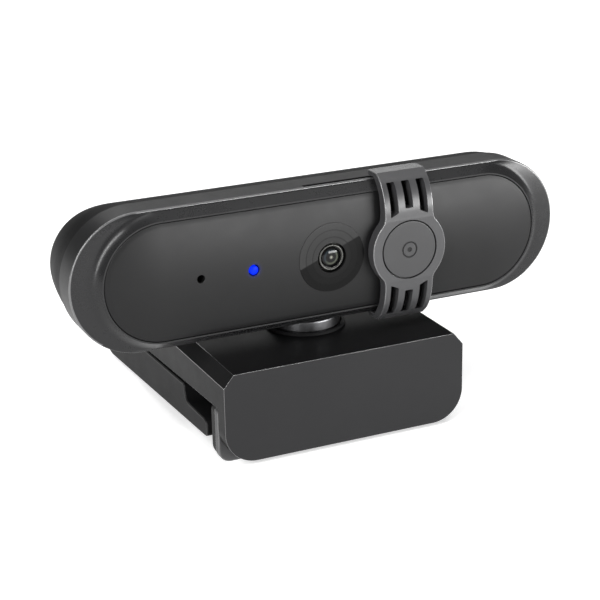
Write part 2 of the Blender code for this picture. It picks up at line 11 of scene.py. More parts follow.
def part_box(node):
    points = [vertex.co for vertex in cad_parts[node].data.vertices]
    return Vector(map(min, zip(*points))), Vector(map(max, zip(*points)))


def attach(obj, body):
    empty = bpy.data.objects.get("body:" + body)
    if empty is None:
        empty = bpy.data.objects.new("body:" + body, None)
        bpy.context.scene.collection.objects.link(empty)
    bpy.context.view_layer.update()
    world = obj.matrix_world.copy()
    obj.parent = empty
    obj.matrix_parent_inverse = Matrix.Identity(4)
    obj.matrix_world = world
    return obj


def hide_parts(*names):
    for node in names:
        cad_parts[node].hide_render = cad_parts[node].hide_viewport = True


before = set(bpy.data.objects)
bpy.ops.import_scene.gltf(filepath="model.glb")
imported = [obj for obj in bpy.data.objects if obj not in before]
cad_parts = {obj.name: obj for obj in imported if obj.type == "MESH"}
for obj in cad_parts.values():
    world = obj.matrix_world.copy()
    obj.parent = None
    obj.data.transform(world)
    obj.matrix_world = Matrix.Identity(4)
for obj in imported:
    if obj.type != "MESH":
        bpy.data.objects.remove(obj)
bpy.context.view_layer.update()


# ------------------------------ studio
# A white sheet that gives off a little light, under soft lamps: one overhead, two behind that skim
# the top faces, a tall strip on the left for the bezel's curve, and a broad one low on the right.


def softbox(name, place, aim, size, watts):
    """A rectangular lamp, its face turned to the aim point."""
    lamp = bpy.data.lights.new(name, "AREA")
    lamp.shape = "RECTANGLE"
    lamp.size, lamp.size_y = size
    lamp.energy = watts
    holder = bpy.data.objects.new(name, lamp)
    holder.location = place
    holder.rotation_euler = (Vector(aim) - Vector(place)).to_track_quat("-Z", "Y").to_euler()
    bpy.context.scene.collection.objects.link(holder)


softbox("overhead_lamp", (0.15, -0.3, 0.85), (0, 0, 0.03), (0.7, 0.3), 2.2)
softbox("rear_bank", (0.45, 0.85, 0.52), (0, 0, 0.05), (1.2, 0.24), 1.8)
softbox("back_lamp", (-0.1, 0.65, 0.85), (0, 0, 0.04), (0.5, 0.3), 3.4)
softbox("left_strip", (-0.72, -0.58, 0.5), (0, 0, 0.04), (0.09, 0.98), 13.0)
softbox("front_bank", (0.66, -0.88, 0.11), (0, 0, 0.05), (1.0, 0.2), 17.0)

world = bpy.data.worlds.new("white_room")
world.use_nodes = True
background = world.node_tree.nodes["Background"].inputs
background["Color"].default_value = (1, 1, 1, 1)
background["Strength"].default_value = 0.15
bpy.context.scene.world = world
bpy.context.scene.view_settings.view_transform = "Standard"

bpy.ops.mesh.primitive_plane_add(size=6.0)
floor = bpy.context.object
floor.name = "paper_floor"
paper = bpy.data.materials.new("white_paper")
paper.use_nodes = True
paper_shader = paper.node_tree.nodes["Principled BSDF"].inputs
paper_shader["Base Color"].default_value = (0.9, 0.9, 0.9, 1)
paper_shader["Roughness"].default_value = 0.9
paper_shader["Specular IOR Level"].default_value = 0.1
paper_shader["Emission Color"].default_value = (1, 1, 1, 1)
paper_shader["Emission Strength"].default_value = 0.45
floor.data.materials.append(paper)

CAMERA_PLACE = (-0.1573, -0.3632, 0.1645)
CAMERA_TURN, CAMERA_DIP, CAMERA_ROLL = radians(-24.44), radians(19.83), radians(-1.12)
lens_data = bpy.data.cameras.new("studio_camera")
lens_data.lens = 103.0
lens_data.clip_start = 0.01
camera = bpy.data.objects.new("studio_camera", lens_data)
aim = Matrix.Rotation(CAMERA_TURN, 4, "Z") @ Matrix.Rotation(pi / 2 - CAMERA_DIP, 4, "X")
camera.matrix_world = Matrix.Translation(CAMERA_PLACE) @ aim @ Matrix.Rotation(CAMERA_ROLL, 4, "Z")
bpy.context.scene.collection.objects.link(camera)
bpy.context.scene.camera = camera


# ------------------------------ bezel
# The front half of the case: one ABS moulding with a side wall, a rim that slopes to the panel's
# edge and widens into a scooped crescent at each end, and a recess that the panel is glued into.
# It is drawn, like every piece, in millimetres about the middle of the head's front rim.

MM = 0.001
panel_low, panel_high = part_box("front_panel")
PANEL_CROWN = -3.8
HEAD = Vector((0, panel_low.y - PANEL_CROWN * MM, (panel_low.z + panel_high.z) / 2))


def span(node):
    """A frame node's lowest and highest corners, in millimetres from the head's rim."""
    return [(corner - HEAD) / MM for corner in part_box(node)]


def select_only(piece):
    """Makes one piece the only selected object, and the active one."""
    bpy.ops.object.select_all(action="DESELECT")
    piece.select_set(True)
    bpy.context.view_layer.objects.active = piece


def edit(piece):
    """Enters edit mode on one piece, with everything of it selected."""
    if bpy.context.mode != "OBJECT":
        bpy.ops.object.mode_set(mode="OBJECT")
    select_only(piece)
    bpy.ops.object.mode_set(mode="EDIT")
    bpy.ops.mesh.select_all(action="SELECT")


def pick(piece, kind, test):
    """Leaves only the vertices that pass the test selected, and the edges or faces they bound."""
    bpy.ops.mesh.select_mode(type="VERT")
    bpy.ops.mesh.select_all(action="DESELECT")
    shape = bmesh.from_edit_mesh(piece.data)
    for vertex in shape.verts:
        vertex.select_set(bool(test(vertex.co)))
    shape.select_flush_mode()
    bmesh.update_edit_mesh(piece.data)
    bpy.ops.mesh.select_mode(type=kind)


def close(piece, seam=1e-4):
    """Welds seams, points every face outwards and leaves edit mode."""
    bpy.ops.mesh.select_mode(type="VERT")
    bpy.ops.mesh.select_all(action="SELECT")
    bpy.ops.mesh.remove_doubles(threshold=seam)
    bpy.ops.mesh.normals_make_consistent(inside=False)
    bpy.ops.object.mode_set(mode="OBJECT")
    return piece


def prism(name, outline, axis, low, high):
    """A face with these corners, given on the two other axes, pulled along an axis."""
    bpy.ops.mesh.primitive_circle_add(vertices=len(outline), fill_type="NGON")
    piece = bpy.context.object
    piece.name = piece.data.name = name
    for vertex, corner in zip(piece.data.vertices, outline):
        place = list(corner)
        place.insert("XYZ".index(axis), low)
        vertex.co = place
    edit(piece)
    pull = Vector([high - low if letter == axis else 0 for letter in "XYZ"])
    bpy.ops.mesh.extrude_region_move(TRANSFORM_OT_translate={"value": pull})
    return close(piece)


def pill_outline(half_length, half_height, steps=40):
    """Corners of an upright pill: a half circle at each end of two straight edges."""
    straight = half_length - half_height
    corners = []
    for side in (1, -1):
        turns = [side * (pi * step / steps - pi / 2) for step in range(steps + 1)]
        corners += [
            (side * (straight + half_height * cos(turn)), half_height * sin(turn)) for turn in turns
        ]
    return corners


def draw_pill(piece, section, following):
    """Extrudes the pill-shaped end face at the section's depth through each following section."""
    length, height, depth = section
    for next_length, next_height, next_depth in following:
        bpy.ops.mesh.extrude_region_move(
            TRANSFORM_OT_translate={"value": (0, next_depth - depth, 0)}
        )
        shape = bmesh.from_edit_mesh(piece.data)
        face = next(face for face in shape.faces if face.select)
        grow = next_height / height
        for vertex in face.verts:
            side = 1 if vertex.co.x > 0 else -1
            out = (vertex.co.x - side * (length - height)) * grow
            vertex.co = (side * (next_length - next_height) + out, next_depth, vertex.co.z * grow)
        bmesh.update_edit_mesh(piece.data)
        length, height, depth = next_length, next_height, next_depth


def pill(name, section, thickness, forward, backward):
    """A pill slab behind a section, with each of its two faces drawn on through more sections."""
    length, height, depth = section
    piece = prism(name, pill_outline(length, height), "Y", depth, depth + thickness)
    for start, route in ((depth, forward), (depth + thickness, backward)):
        edit(piece)
        pick(piece, "FACE", lambda place: abs(place.y - start) < 1e-4)
        draw_pill(piece, (length, height, start), route)
    return close(piece)


def arc(centre, radius, start, end, steps=10):
    """Points of an arc between two angles in degrees."""
    turns = [radians(start + (end - start) * step / steps) for step in range(steps + 1)]
    return [(centre[0] + radius * cos(turn), centre[1] + radius * sin(turn)) for turn in turns]


def flowing(points, steps=5):
    """A smooth curve through points of any number of coordinates."""
    points = [Vector(point) for point in points]
    ends = [2 * points[0] - points[1], *points, 2 * points[-1] - points[-2]]
    curve = []
    for a, b, c, d in zip(ends, ends[1:], ends[2:], ends[3:]):
        for t in (step / steps for step in range(steps)):
            curve.append(
                0.5 * (2 * b + (c - a) * t + (2 * a - 5 * b + 4 * c - d) * t**2
                       + (3 * b - a - 3 * c + d) * t**3)
            )
    return [tuple(point) for point in curve + [points[-1]]]


def bend(start, corner, end, steps=6):
    """A curve that leaves start towards the corner and arrives at end from it."""
    start, corner, end = Vector(start), Vector(corner), Vector(end)
    route = [step / steps for step in range(steps + 1)]
    return [tuple(start * (1 - t) ** 2 + 2 * corner * t * (1 - t) + end * t**2) for t in route]


def rod(name, radius, low, high, axis, centre, vertices=48):
    """A round bar along an axis through a centre."""
    turn = {"X": (0, pi / 2, 0), "Y": (pi / 2, 0, 0), "Z": (0, 0, 0)}[axis]
    place = list(centre)
    place["XYZ".index(axis)] = (low + high) / 2
    bpy.ops.mesh.primitive_cylinder_add(
        vertices=vertices, radius=radius, depth=high - low, location=place, rotation=turn
    )
    bpy.ops.object.transform_apply()
    bpy.context.object.name = name
    return bpy.context.object


def block(name, x, y, z):
    """A box between pairs of limits."""
    return prism(name, [(x[0], y[0]), (x[1], y[0]), (x[1], y[1]), (x[0], y[1])], "Z", *z)


def apply_modifier(piece, kind, **settings):
    """Adds one modifier to a piece and applies it."""
    modifier = piece.modifiers.new(kind.title(), kind)
    for name, value in settings.items():
        setattr(modifier, name, value)
    select_only(piece)
    bpy.ops.object.modifier_apply(modifier=modifier.name)


def work(piece, operation, *tools):
    """Cuts, joins or trims a piece with tools, which are then gone."""
    for tool in tools:
        apply_modifier(piece, "BOOLEAN", operation=operation, object=tool)
        bpy.data.objects.remove(tool)
    return piece


def open_slots(piece, count=2):
    """Opens material slots, for a piece's rounded edges and their painted highlight, printed marks,
    and faces that take another finish or painted light.
    """
    while len(piece.data.materials) < count:
        piece.data.materials.append(None)


def face_slot(piece, number, test):
    """Moves the faces whose corners all pass the test to a material slot."""
    open_slots(piece, number + 1)
    edit(piece)
    pick(piece, "FACE", test)
    piece.active_material_index = number
    bpy.ops.object.material_slot_assign()
    bpy.ops.object.mode_set(mode="OBJECT")


def soften(piece, width, angle=35, segments=3):
    """Rounds the edges sharper than an angle. The round faces take the second material slot."""
    open_slots(piece)
    apply_modifier(
        piece, "BEVEL", width=width, segments=segments, limit_method="ANGLE",
        angle_limit=radians(angle), miter_outer="MITER_ARC", material=1,
    )
    return piece


def hand_over(piece, finish, body, slot, *stands_for, smooth=35, second=None):
    """Moves a finished piece from its drawing millimetres into the frame and on to its body."""
    select_only(piece)
    bpy.ops.object.shade_smooth_by_angle(angle=radians(smooth))
    apply_modifier(piece, "WEIGHTED_NORMAL", keep_sharp=True)
    piece.data.transform(Matrix.Translation(HEAD) @ Matrix.Scale(MM, 4))
    open_slots(piece)
    piece.data.materials[0] = finish
    piece.data.materials[1] = second or finish
    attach(piece, body)
    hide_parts(*stands_for)
    return piece


class Shade:
    """One output in a material's node tree. Arithmetic on it adds Math nodes to that tree."""

    def __init__(self, tree, socket=None):
        self.tree = tree
        self.socket = socket

    def node(self, kind, settings=(), sockets=(), output=0):
        """Adds a node, makes its settings, and fills its sockets with values or other outputs."""
        made = self.tree.nodes.new("ShaderNode" + kind)
        for name, value in dict(settings).items():
            if name == "stops":
                for stop, (place, tone) in zip(made.color_ramp.elements, value):
                    stop.position = place
                    stop.color = (tone, tone, tone, 1)
            else:
                setattr(made, name, value)
        for name, value in dict(sockets).items():
            if isinstance(value, Shade):
                self.tree.links.new(value.socket, made.inputs[name])
            else:
                made.inputs[name].default_value = value
        return Shade(self.tree, made.outputs[output])

    def maths(self, operation, first, second=0.0):
        """One Math node. With one input, the second is ignored."""
        return self.node("Math", {"operation": operation}, {0: first, 1: second})

    def __add__(self, other):
        return self.maths("ADD", self, other)

    __radd__ = __add__

    def __mul__(self, other):
        return self.maths("MULTIPLY", self, other)

    __rmul__ = __mul__

    def __sub__(self, other):
        return self.maths("SUBTRACT", self, other)

    def __rsub__(self, other):
        return self.maths("SUBTRACT", other, self)

    def blend(self, first, second):
        """The first colour where this mask is 0 and the second where it is 1."""
        sockets = {0: self, 6: first, 7: second}
        return self.node("Mix", {"data_type": "RGBA"}, sockets, output=2)

    def clamped(self):
        """This value, held between 0 and 1."""
        return self.node("Clamp", (), {"Value": self})

    def into(self, socket):
        """Feeds this output to a socket of the material's shader."""
        shader = self.tree.nodes["Principled BSDF"]
        self.tree.links.new(self.socket, shader.inputs[socket])


def start_finish(name, **constants):
    """A new material with its even properties set, and the tree to draw the uneven ones in."""
    finish = bpy.data.materials.new(name)
    finish.use_nodes = True
    shader = finish.node_tree.nodes["Principled BSDF"]
    for socket, value in constants.items():
        shader.inputs[socket.replace("_", " ")].default_value = value
    return finish, Shade(finish.node_tree)


def grey(tone, blue=1.0):
    """A neutral colour, with a little blue where the pigment has some."""
    return (tone, tone, tone * blue, 1.0)


def noise(place, scale, detail, **more):
    """Cloudy noise over a place, in cells to the metre."""
    return place.node("TexNoise", (), {"Vector": place, "Scale": scale, "Detail": detail, **more})


def moulded(name, colour, roughness, grain, depth, specular=0.5, **constants):
    """Moulded plastic: spark-eroded grain, faint flow marks in the colour and handling marks in the
    gloss. Colour is the darker and lighter pigment; grain and depth are the texture's size."""
    finish, tree = start_finish(name, Specular_IOR_Level=specular, **constants)
    place = tree.node("TexCoord", output=3)
    fine = noise(place, 1 / (grain * MM), 3.0)
    broad = noise(place, 38.0, 4.0, Distortion=0.6)
    marks = noise(place, 210.0, 5.0, Roughness=0.7)
    dark, light = colour
    (broad * 0.7 + fine * 0.3).blend(dark, light).into("Base Color")
    (roughness + (broad - 0.5) * 0.1 + (marks - 0.5) * 0.12 + (fine - 0.5) * 0.08).into("Roughness")
    tree.node("Bump", (), {"Strength": 0.35, "Distance": depth * MM, "Height": fine}).into("Normal")
    return finish


case_plastic = moulded(
    "case_plastic", (grey(0.009, 1.04), grey(0.013, 1.04)), 0.28, 0.22, 0.002, specular=0.25
)
case_side = moulded(
    "case_side", (grey(0.008, 1.04), grey(0.011, 1.04)), 0.42, 0.26, 0.008, specular=0.17
)
# A lighter, glossier copy of the case plastic for the rim's rounded faces: its coat is real polish,
# its lighter colour a painted highlight.
case_edges = moulded(
    "case_edges", (grey(0.03, 1.04), grey(0.036, 1.04)), 0.34, 0.22, 0.0, specular=1.0,
    Coat_Weight=0.8, Coat_Roughness=0.34,
)

bezel_low, bezel_high = span("front_shell")
panel_reach, panel_top = span("front_panel")[1].x, span("front_panel")[1].z
HEAD_LENGTH, HEAD_HEIGHT = bezel_high.x, bezel_high.z
PARTING = 7.0
WALL = 1.6
RIM_ROUND = 0.35
RIM_LIP = 0.4
SEAT_GAP = 0.08
SEAT_DEPTH = -0.9
WEB_BACK = 0.4
PARTING_CHAMFER = 0.15
PAINTED_HIGHLIGHT_LOW = -13

rim_turn = [
    (HEAD_LENGTH - RIM_ROUND + out, HEAD_HEIGHT - RIM_ROUND + out, RIM_ROUND - forward)
    for out, forward in arc((0, 0), RIM_ROUND, 22.5, 90, 3)
]
lip = (panel_reach + RIM_LIP, panel_top + RIM_LIP, bezel_low.y)
SCOOP_TOP, SCOOP_FRONT = 15.5, -0.28
scoop = [(57.2, SCOOP_FRONT), (56.5, -0.34)]
scoop += bend((panel_reach + 2.9, -0.42), (panel_reach + 1.3, -0.64), (lip[0], lip[2]), steps=10)
rim_slope = (SCOOP_TOP - lip[1]) / (SCOOP_FRONT - lip[2])
crescent = [
    (length, SCOOP_TOP - (SCOOP_FRONT - depth) * rim_slope, depth) for length, depth in scoop
]
seat_edge = (panel_reach + SEAT_GAP, panel_top + SEAT_GAP)
seat = [(*seat_edge, lip[2]), (*seat_edge, SEAT_DEPTH)]
inside = (HEAD_LENGTH - WALL, HEAD_HEIGHT - WALL)
bezel = pill(
    "bezel_shell",
    (HEAD_LENGTH, HEAD_HEIGHT, RIM_ROUND),
    PARTING - PARTING_CHAMFER - RIM_ROUND,
    [*rim_turn, *crescent, *seat],
    [(HEAD_LENGTH - PARTING_CHAMFER, HEAD_HEIGHT - PARTING_CHAMFER, PARTING),
     (*inside, PARTING), (*inside, WEB_BACK)],
)

CASE_SCREW_X = 50.0
BOARD_POST = (36.0, 7.5)
LED_X = -18.9
MIC_X = -31.4
RAIL_SLOT_X = (-4.6, 22.9)
RAIL_SLOT_Y = (0.5, 1.7)
for side in (-1, 1):
    boss_at = (side * CASE_SCREW_X, 0, 0)
    post_at = (side * BOARD_POST[0], 0, BOARD_POST[1])
    work(
        bezel, "UNION",
        rod("case_boss", 2.8, WEB_BACK - 0.8, 16.6, "Y", boss_at),
        rod("board_post", 2.4, WEB_BACK - 0.8, 8.7, "Y", post_at),
    )
    work(
        bezel, "DIFFERENCE",
        rod("case_pilot", 1.1, 6.0, 18.0, "Y", boss_at, 24),
        rod("board_pilot", 0.95, 3.0, 12.0, "Y", post_at, 24),
        block("rail_slot", RAIL_SLOT_X, RAIL_SLOT_Y, sorted((side * 13.0, side * 18.0))),
    )
work(
    bezel, "DIFFERENCE",
    rod("barrel_hole", 4.2, -3, 3, "Y", (0, 0, 0)),
    rod("led_hole", 1.35, -3, 3, "Y", (LED_X, 0, 0), 32),
    rod("mic_hole", 0.9, -3, 3, "Y", (MIC_X, 0, 0), 32),
)
# The rim's faces, all but its lowest part, take the lighter copy: a painted highlight along the
# rim's top and sides.
face_slot(bezel, 1, lambda place: -0.02 < place.y < RIM_ROUND + 0.01 and place.z > PAINTED_HIGHLIGHT_LOW)
bezel.data.materials.append(case_side)
face_slot(bezel, 2, lambda place: place.y > RIM_ROUND - 0.01)
hand_over(bezel, case_plastic, "head", "case_plastic", "front_shell", second=case_edges)


# ------------------------------ face panel
# A crowned plate of smoother, glossier ABS glued into the bezel, with holes for the lens window,
# the status light and the microphone. A blue glow round the status light's hole is painted light,
# given off by the panel itself.

PANEL_BACK = -1.2
PANEL_EDGE = -2.5
PANEL_EDGE_ROUND = 0.36
WINDOW_R = 8.0

panel_rings = []
for out, forward in arc((0, 0), PANEL_EDGE_ROUND, 30, 90, 2):
    inset = PANEL_EDGE_ROUND - out
    depth = PANEL_EDGE + PANEL_EDGE_ROUND - forward
    panel_rings.append((panel_reach - inset, panel_top - inset, depth))
CROWN_STEPS = 26
CROWN_RIDGE = 0.4
for step in range(1, CROWN_STEPS + 1):
    inset = PANEL_EDGE_ROUND + (panel_top - CROWN_RIDGE - PANEL_EDGE_ROUND) * step / CROWN_STEPS
    depth = PANEL_CROWN + (PANEL_EDGE - PANEL_CROWN) * (1 - inset / panel_top) ** 2
    panel_rings.append((panel_reach - inset, panel_top - inset, depth))
face_panel = pill(
    "face_panel",
    (panel_reach, panel_top, PANEL_EDGE + PANEL_EDGE_ROUND),
    PANEL_BACK - PANEL_EDGE - PANEL_EDGE_ROUND,
    panel_rings,
    [],
)


def turned(name, profile, axis, centre, steps=72):
    """A turned solid. The profile's (radius, position) points run round a section of it, and one
    that starts and ends on the axis stays open there."""
    solid = profile[0][0] < 1e-6 and profile[-1][0] < 1e-6
    bpy.ops.mesh.primitive_circle_add(vertices=len(profile))
    piece = bpy.context.object
    piece.name = piece.data.name = name
    along = "XYZ".index(axis)
    for vertex, (radius, position) in zip(piece.data.vertices, profile):
        place = [0, 0, 0]
        place[(along + 1) % 3] = radius
        place[along] = position
        vertex.co = Vector(place) + Vector(centre)
    edit(piece)
    if solid:
        shape = bmesh.from_edit_mesh(piece.data)
        shape.verts.ensure_lookup_table()
        shape.edges.remove(shape.edges.get((shape.verts[0], shape.verts[len(profile) - 1])))
        bmesh.update_edit_mesh(piece.data)
    direction = [float(letter == axis) for letter in "XYZ"]
    bpy.ops.mesh.spin(steps=steps, angle=2 * pi, center=centre, axis=direction)
    return close(piece)


def countersink(name, radius, chamfer, front, back, centre):
    """A hole cutter along Y with a chamfered mouth at its front."""
    profile = [(0, front - 1), (radius + chamfer + 1, front - 1), (radius, front + chamfer)]
    return turned(name, [*profile, (radius, back), (0, back)], "Y", centre, 48)


work(
    face_panel, "DIFFERENCE",
    rod("window_hole", WINDOW_R + 0.03, -6, 2, "Y", (0, 0, 0), 128),
    countersink("panel_led_hole", 1.3, 0.12, PANEL_CROWN, 2, (LED_X, 0, 0)),
    countersink("panel_mic_hole", 0.9, 0.1, PANEL_CROWN, 2, (MIC_X, 0, 0)),
)

panel_plastic = moulded(
    "panel_plastic", (grey(0.004, 1.03), grey(0.006, 1.03)), 0.41, 0.16, 0.0015, specular=0.2,
    Emission_Strength=1.0,
)
GLOW_R = 2.6


def offset_from(tree, x, y):
    """How far each point lies from a point at the lens's height."""
    centre = HEAD + Vector((x * MM, y * MM, 0))
    return tree.node(
        "VectorMath", {"operation": "SUBTRACT"}, {0: tree.node("TexCoord", output=3), 1: centre}
    )


# The panel gives off blue light in a disc round the status light's hole, fading outwards: a painted
# glow.
tree = Shade(panel_plastic.node_tree)
offset = offset_from(tree, LED_X, PANEL_CROWN)
distance = tree.node("VectorMath", {"operation": "LENGTH"}, {0: offset}, output=1)
near = (1 - distance * (1 / (GLOW_R * MM))).clamped()
(near * near * near).blend((0, 0, 0, 1), (0.0, 0.03, 0.75, 1)).into("Emission Color")
hand_over(face_panel, panel_plastic, "head", "panel_plastic", "front_panel", smooth=25)


# ------------------------------ rear case
# The back half of the case, a deep ABS shell that closes over the board. Two screws in sunk bores
# hold it to the bezel's bosses, the cable leaves through its middle, and the neck's bracket hangs
# from two posts over the pocket in its underside.

rear_low, rear_high = span("rear_shell")
outer = [(59.7, 15.75, 7.5), (59.1, 14.5, 14.0), (57.9, 12.2, 20.5), (55.9, 10.3, 22.6)]
outer += [(52.8, 7.6, 23.8), (49.0, 4.0, rear_high.y)]
hollow = [(58.1, 14.15, rear_low.y), (57.5, 12.9, 14.0), (56.2, 10.8, 19.8), (53.9, 8.6, 21.6)]
hollow += [(50.5, 5.6, 22.4)]
rear_case = pill(
    "rear_case_shell",
    (59.6, 15.65, rear_low.y),
    0.05,
    flowing(hollow, 4),
    flowing(outer, 6),
)
NECK_Y = 11.5
NECK_AT = (0, NECK_Y, 0)
SCREW_BORE_END = 18.4
for side in (-1, 1):
    screw_at = (side * CASE_SCREW_X, 0, 0)
    post_at = (side * 10.6, NECK_Y, 0)
    work(
        rear_case, "UNION",
        rod("screw_sleeve", 3.4, 17.0, 23.0, "Y", screw_at),
        rod("bracket_post", 2.2, -14.5, -9.1, "Z", post_at, 32),
    )
    work(
        rear_case, "DIFFERENCE",
        rod("head_bore", 2.1, SCREW_BORE_END, 26.0, "Y", screw_at),
        rod("shaft_bore", 1.15, 16.0, 19.0, "Y", screw_at, 24),
        rod("bracket_pilot", 0.95, -14.2, -8.0, "Z", post_at, 24),
    )
GLAND_AT = (0, 0, 3.0)
work(
    rear_case, "DIFFERENCE",
    block("neck_pocket", (-7.8, 7.8), (5.0, 17.0), (-20.0, -12.0)),
    rod("cable_hole", 3.4, 18.0, 28.0, "Y", GLAND_AT),
)
soften(rear_case, 0.2, angle=55, segments=2)
rear_plastic = moulded(
    "rear_case_plastic", (grey(0.0045, 1.03), grey(0.0065, 1.03)), 0.5, 0.3, 0.012, specular=0.05
)
hand_over(rear_case, rear_plastic, "head", "case_plastic", "rear_shell")


# ------------------------------ case screws and cable gland
# Two pan-head steel screws with cross recesses sit deep in the rear case's bores. The gland is a
# soft rubber ring with a bead that snaps into the case and a ribbed mouth for the cable.


def machined(name, tone, roughness, lathe=None, metallic=1.0):
    """Bare metal: a faint haze, and fine rings across the lathe's axis where it was turned."""
    finish, tree = start_finish(name, Metallic=metallic)
    place = tree.node("TexCoord", output=3)
    haze = noise(place, 420.0, 4.0)
    haze.blend(tuple(0.8 * part for part in tone[:3]) + (1,), tone).into("Base Color")
    (roughness + (haze - 0.5) * 0.2).into("Roughness")
    stretch = [40.0 if letter != lathe else 9000.0 for letter in "XYZ"]
    grooves = place.node("Mapping", (), {"Vector": place, "Scale": stretch})
    lines = noise(grooves, 1.0, 2.0)
    tree.node("Bump", (), {"Strength": 0.3, "Distance": 0.01 * MM, "Height": lines}).into("Normal")
    return finish


SIDES = ((-1, "left"), (1, "right"))
steel = machined("zinc_steel", (0.55, 0.55, 0.57, 1), 0.32, "Y")


def cross_screw(name, head_r, shaft_r, seat, crown, tip, axis, centre):
    """A pan-head screw with a rounded crown, a threaded shaft and a cross recess."""
    way = 1 if crown > seat else -1
    turns = [radians(turn) for turn in (0, 25, 45, 62, 76, 90)]
    fall = way * 0.35 * abs(crown - seat)
    dome = [(head_r * sin(turn), crown - fall * (1 - cos(turn))) for turn in turns]
    threads = []
    pitch = 0.5
    position = seat - way * 0.4
    while (position - tip) * way > pitch:
        threads += [(shaft_r * 0.78, position), (shaft_r, position - way * pitch / 2)]
        position -= way * pitch
    profile = [*dome, (head_r, seat), (shaft_r * 0.8, seat), *threads]
    profile += [(shaft_r * 0.3, tip), (0, tip)]
    screw = turned(name, profile, axis, centre, 32)
    reach = head_r * 0.62
    for across in (0, 1):
        spans = {letter: [-0.17 * head_r, 0.17 * head_r] for letter in "XYZ"}
        spans[[letter for letter in "XYZ" if letter != axis][across]] = [-reach, reach]
        spans[axis] = sorted((crown + way, crown - way * 0.7 * abs(crown - seat)))
        for letter, offset in zip("XYZ", centre):
            if letter != axis:
                spans[letter] = [offset + value for value in spans[letter]]
        work(screw, "DIFFERENCE", block("cross", *(spans[letter] for letter in "XYZ")))
    return screw


for side, label in SIDES:
    node = f"case_screw_{label}"
    screw = cross_screw(
        f"rear_{node}", 1.8, 0.85, 18.7, 20.3, 8.0, "Y", (side * CASE_SCREW_X, 0, 0)
    )
    hand_over(screw, steel, "head", "steel", node)

rubber = moulded("black_rubber", (grey(0.012), grey(0.019)), 0.72, 0.35, 0.03, specular=0.3)
gland_ribs = [(4.6 - 0.35 * (step % 2), 25.2 - 0.14 * step) for step in range(5)]
gland = turned(
    "cable_gland_ring",
    [(4.35, 25.3), *gland_ribs, (3.1, 24.5), (3.1, 23.2), (3.35, 22.9), (3.35, 22.3), (3.0, 21.5),
     (2.0, 21.5), (1.8, 21.7), (1.8, 24.7), (2.3, 25.3)],
    "Y", GLAND_AT,
)
hand_over(gland, rubber, "head", "rubber", "cable_gland")


# ------------------------------ lens window and lens
# A disc of hard-coated acrylic, smoked over printed baffle rings, with a painted reflection that
# makes its upper left part lighter. In its middle is the lens: a metal trim ring, a domed front
# glass and a blackened barrel.

window_low, window_high = span("lens_window")
BAFFLE_RINGS = (6.4, 4.8)
PAINTED_REFLECTION_LINE = 1.4
PAINTED_REFLECTION_BLUR = 0.25
WINDOW_BORE = 3.5
PROUD = PANEL_CROWN - window_low.y


def round_the_bore(tree, x=0.0):
    """Distances right of, above and out from an axis that runs back through the head."""
    offset = offset_from(tree, x, 0)
    across, height = (tree.node("SeparateXYZ", (), {0: offset}, output=axis) for axis in (0, 2))
    flat = tree.node("VectorMath", {"operation": "MULTIPLY"}, {0: offset, 1: (1, 0, 1)})
    return across, height, tree.node("VectorMath", {"operation": "LENGTH"}, {0: flat}, output=1)


def band(spread, radius, half_width):
    """A mask that is 1 on a circle and falls to 0 at half a width from it."""
    gap = spread.maths("ABSOLUTE", spread - radius * MM)
    return (1 - gap * (1 / (half_width * MM))).clamped()


window = pill(
    "lens_window_disc", (panel_reach, panel_top, window_high.y - 0.5), 0.5,
    [(length, height, depth - PROUD) for length, height, depth in panel_rings], [],
)
work(window, "INTERSECT", rod("window_rim", WINDOW_R, -9, 2, "Y", (0, 0, 0), 128))
work(window, "DIFFERENCE", rod("window_bore", WINDOW_BORE, -9, 2, "Y", (0, 0, 0), 96))
soften(window, 0.05, angle=50, segments=2)
window_gloss, tree = start_finish(
    "window_gloss", Roughness=0.3, Specular_IOR_Level=0.05, Coat_Weight=0.13, Coat_Roughness=0.12
)
across, height, spread = round_the_bore(tree)
rings = steps = 0
for ring in BAFFLE_RINGS:
    rings = rings + band(spread, ring, 0.16)
    steps = steps + tree.maths("LESS_THAN", spread, ring * MM) * 0.12
# Above and left of a soft slanting line the disc is painted lighter: a painted reflection.
painted_reflection = (height - across * 0.4) * (1 / (PAINTED_REFLECTION_BLUR * MM))
painted_reflection = (painted_reflection - PAINTED_REFLECTION_LINE / PAINTED_REFLECTION_BLUR + 0.5).clamped()
tone = painted_reflection.blend(grey(0.002), grey(0.023))
tone = steps.blend(tone, grey(0.013))
(rings * 0.7).blend(tone, grey(0.001)).into("Base Color")
hand_over(window, window_gloss, "head", "window_gloss", "lens_window", smooth=50)

trim = turned(
    "lens_trim", [(2.5, -2.95), (2.5, -3.35), *arc((2.78, -3.36), 0.24, 180, 340, 8),
                  (3.08, -3.2), (3.3, -3.12), (3.3, -2.95)][::-1],
    "Y", (0, 0, 0), 96,
)
bright_trim = machined("bright_trim", (0.075, 0.075, 0.071, 1), 0.42)
hand_over(trim, bright_trim, "head", "cast_silver", "lens_trim_ring", smooth=60)

barrel = turned(
    "lens_barrel_tube",
    [(3.2, 6.5), (1.9, 6.5), (1.9, -2.1), (2.1, -2.2), (2.1, -2.3), (2.3, -2.4), (2.5, -2.4),
     (2.5, -2.8), (3.2, -2.8)],
    "Y", (0, 0, 0), 72,
)
black_anodised = machined("black_anodised", (0.035, 0.035, 0.037, 1), 0.38, "Y", metallic=0.6)
hand_over(barrel, black_anodised, "head", "chip_epoxy", "lens_barrel")

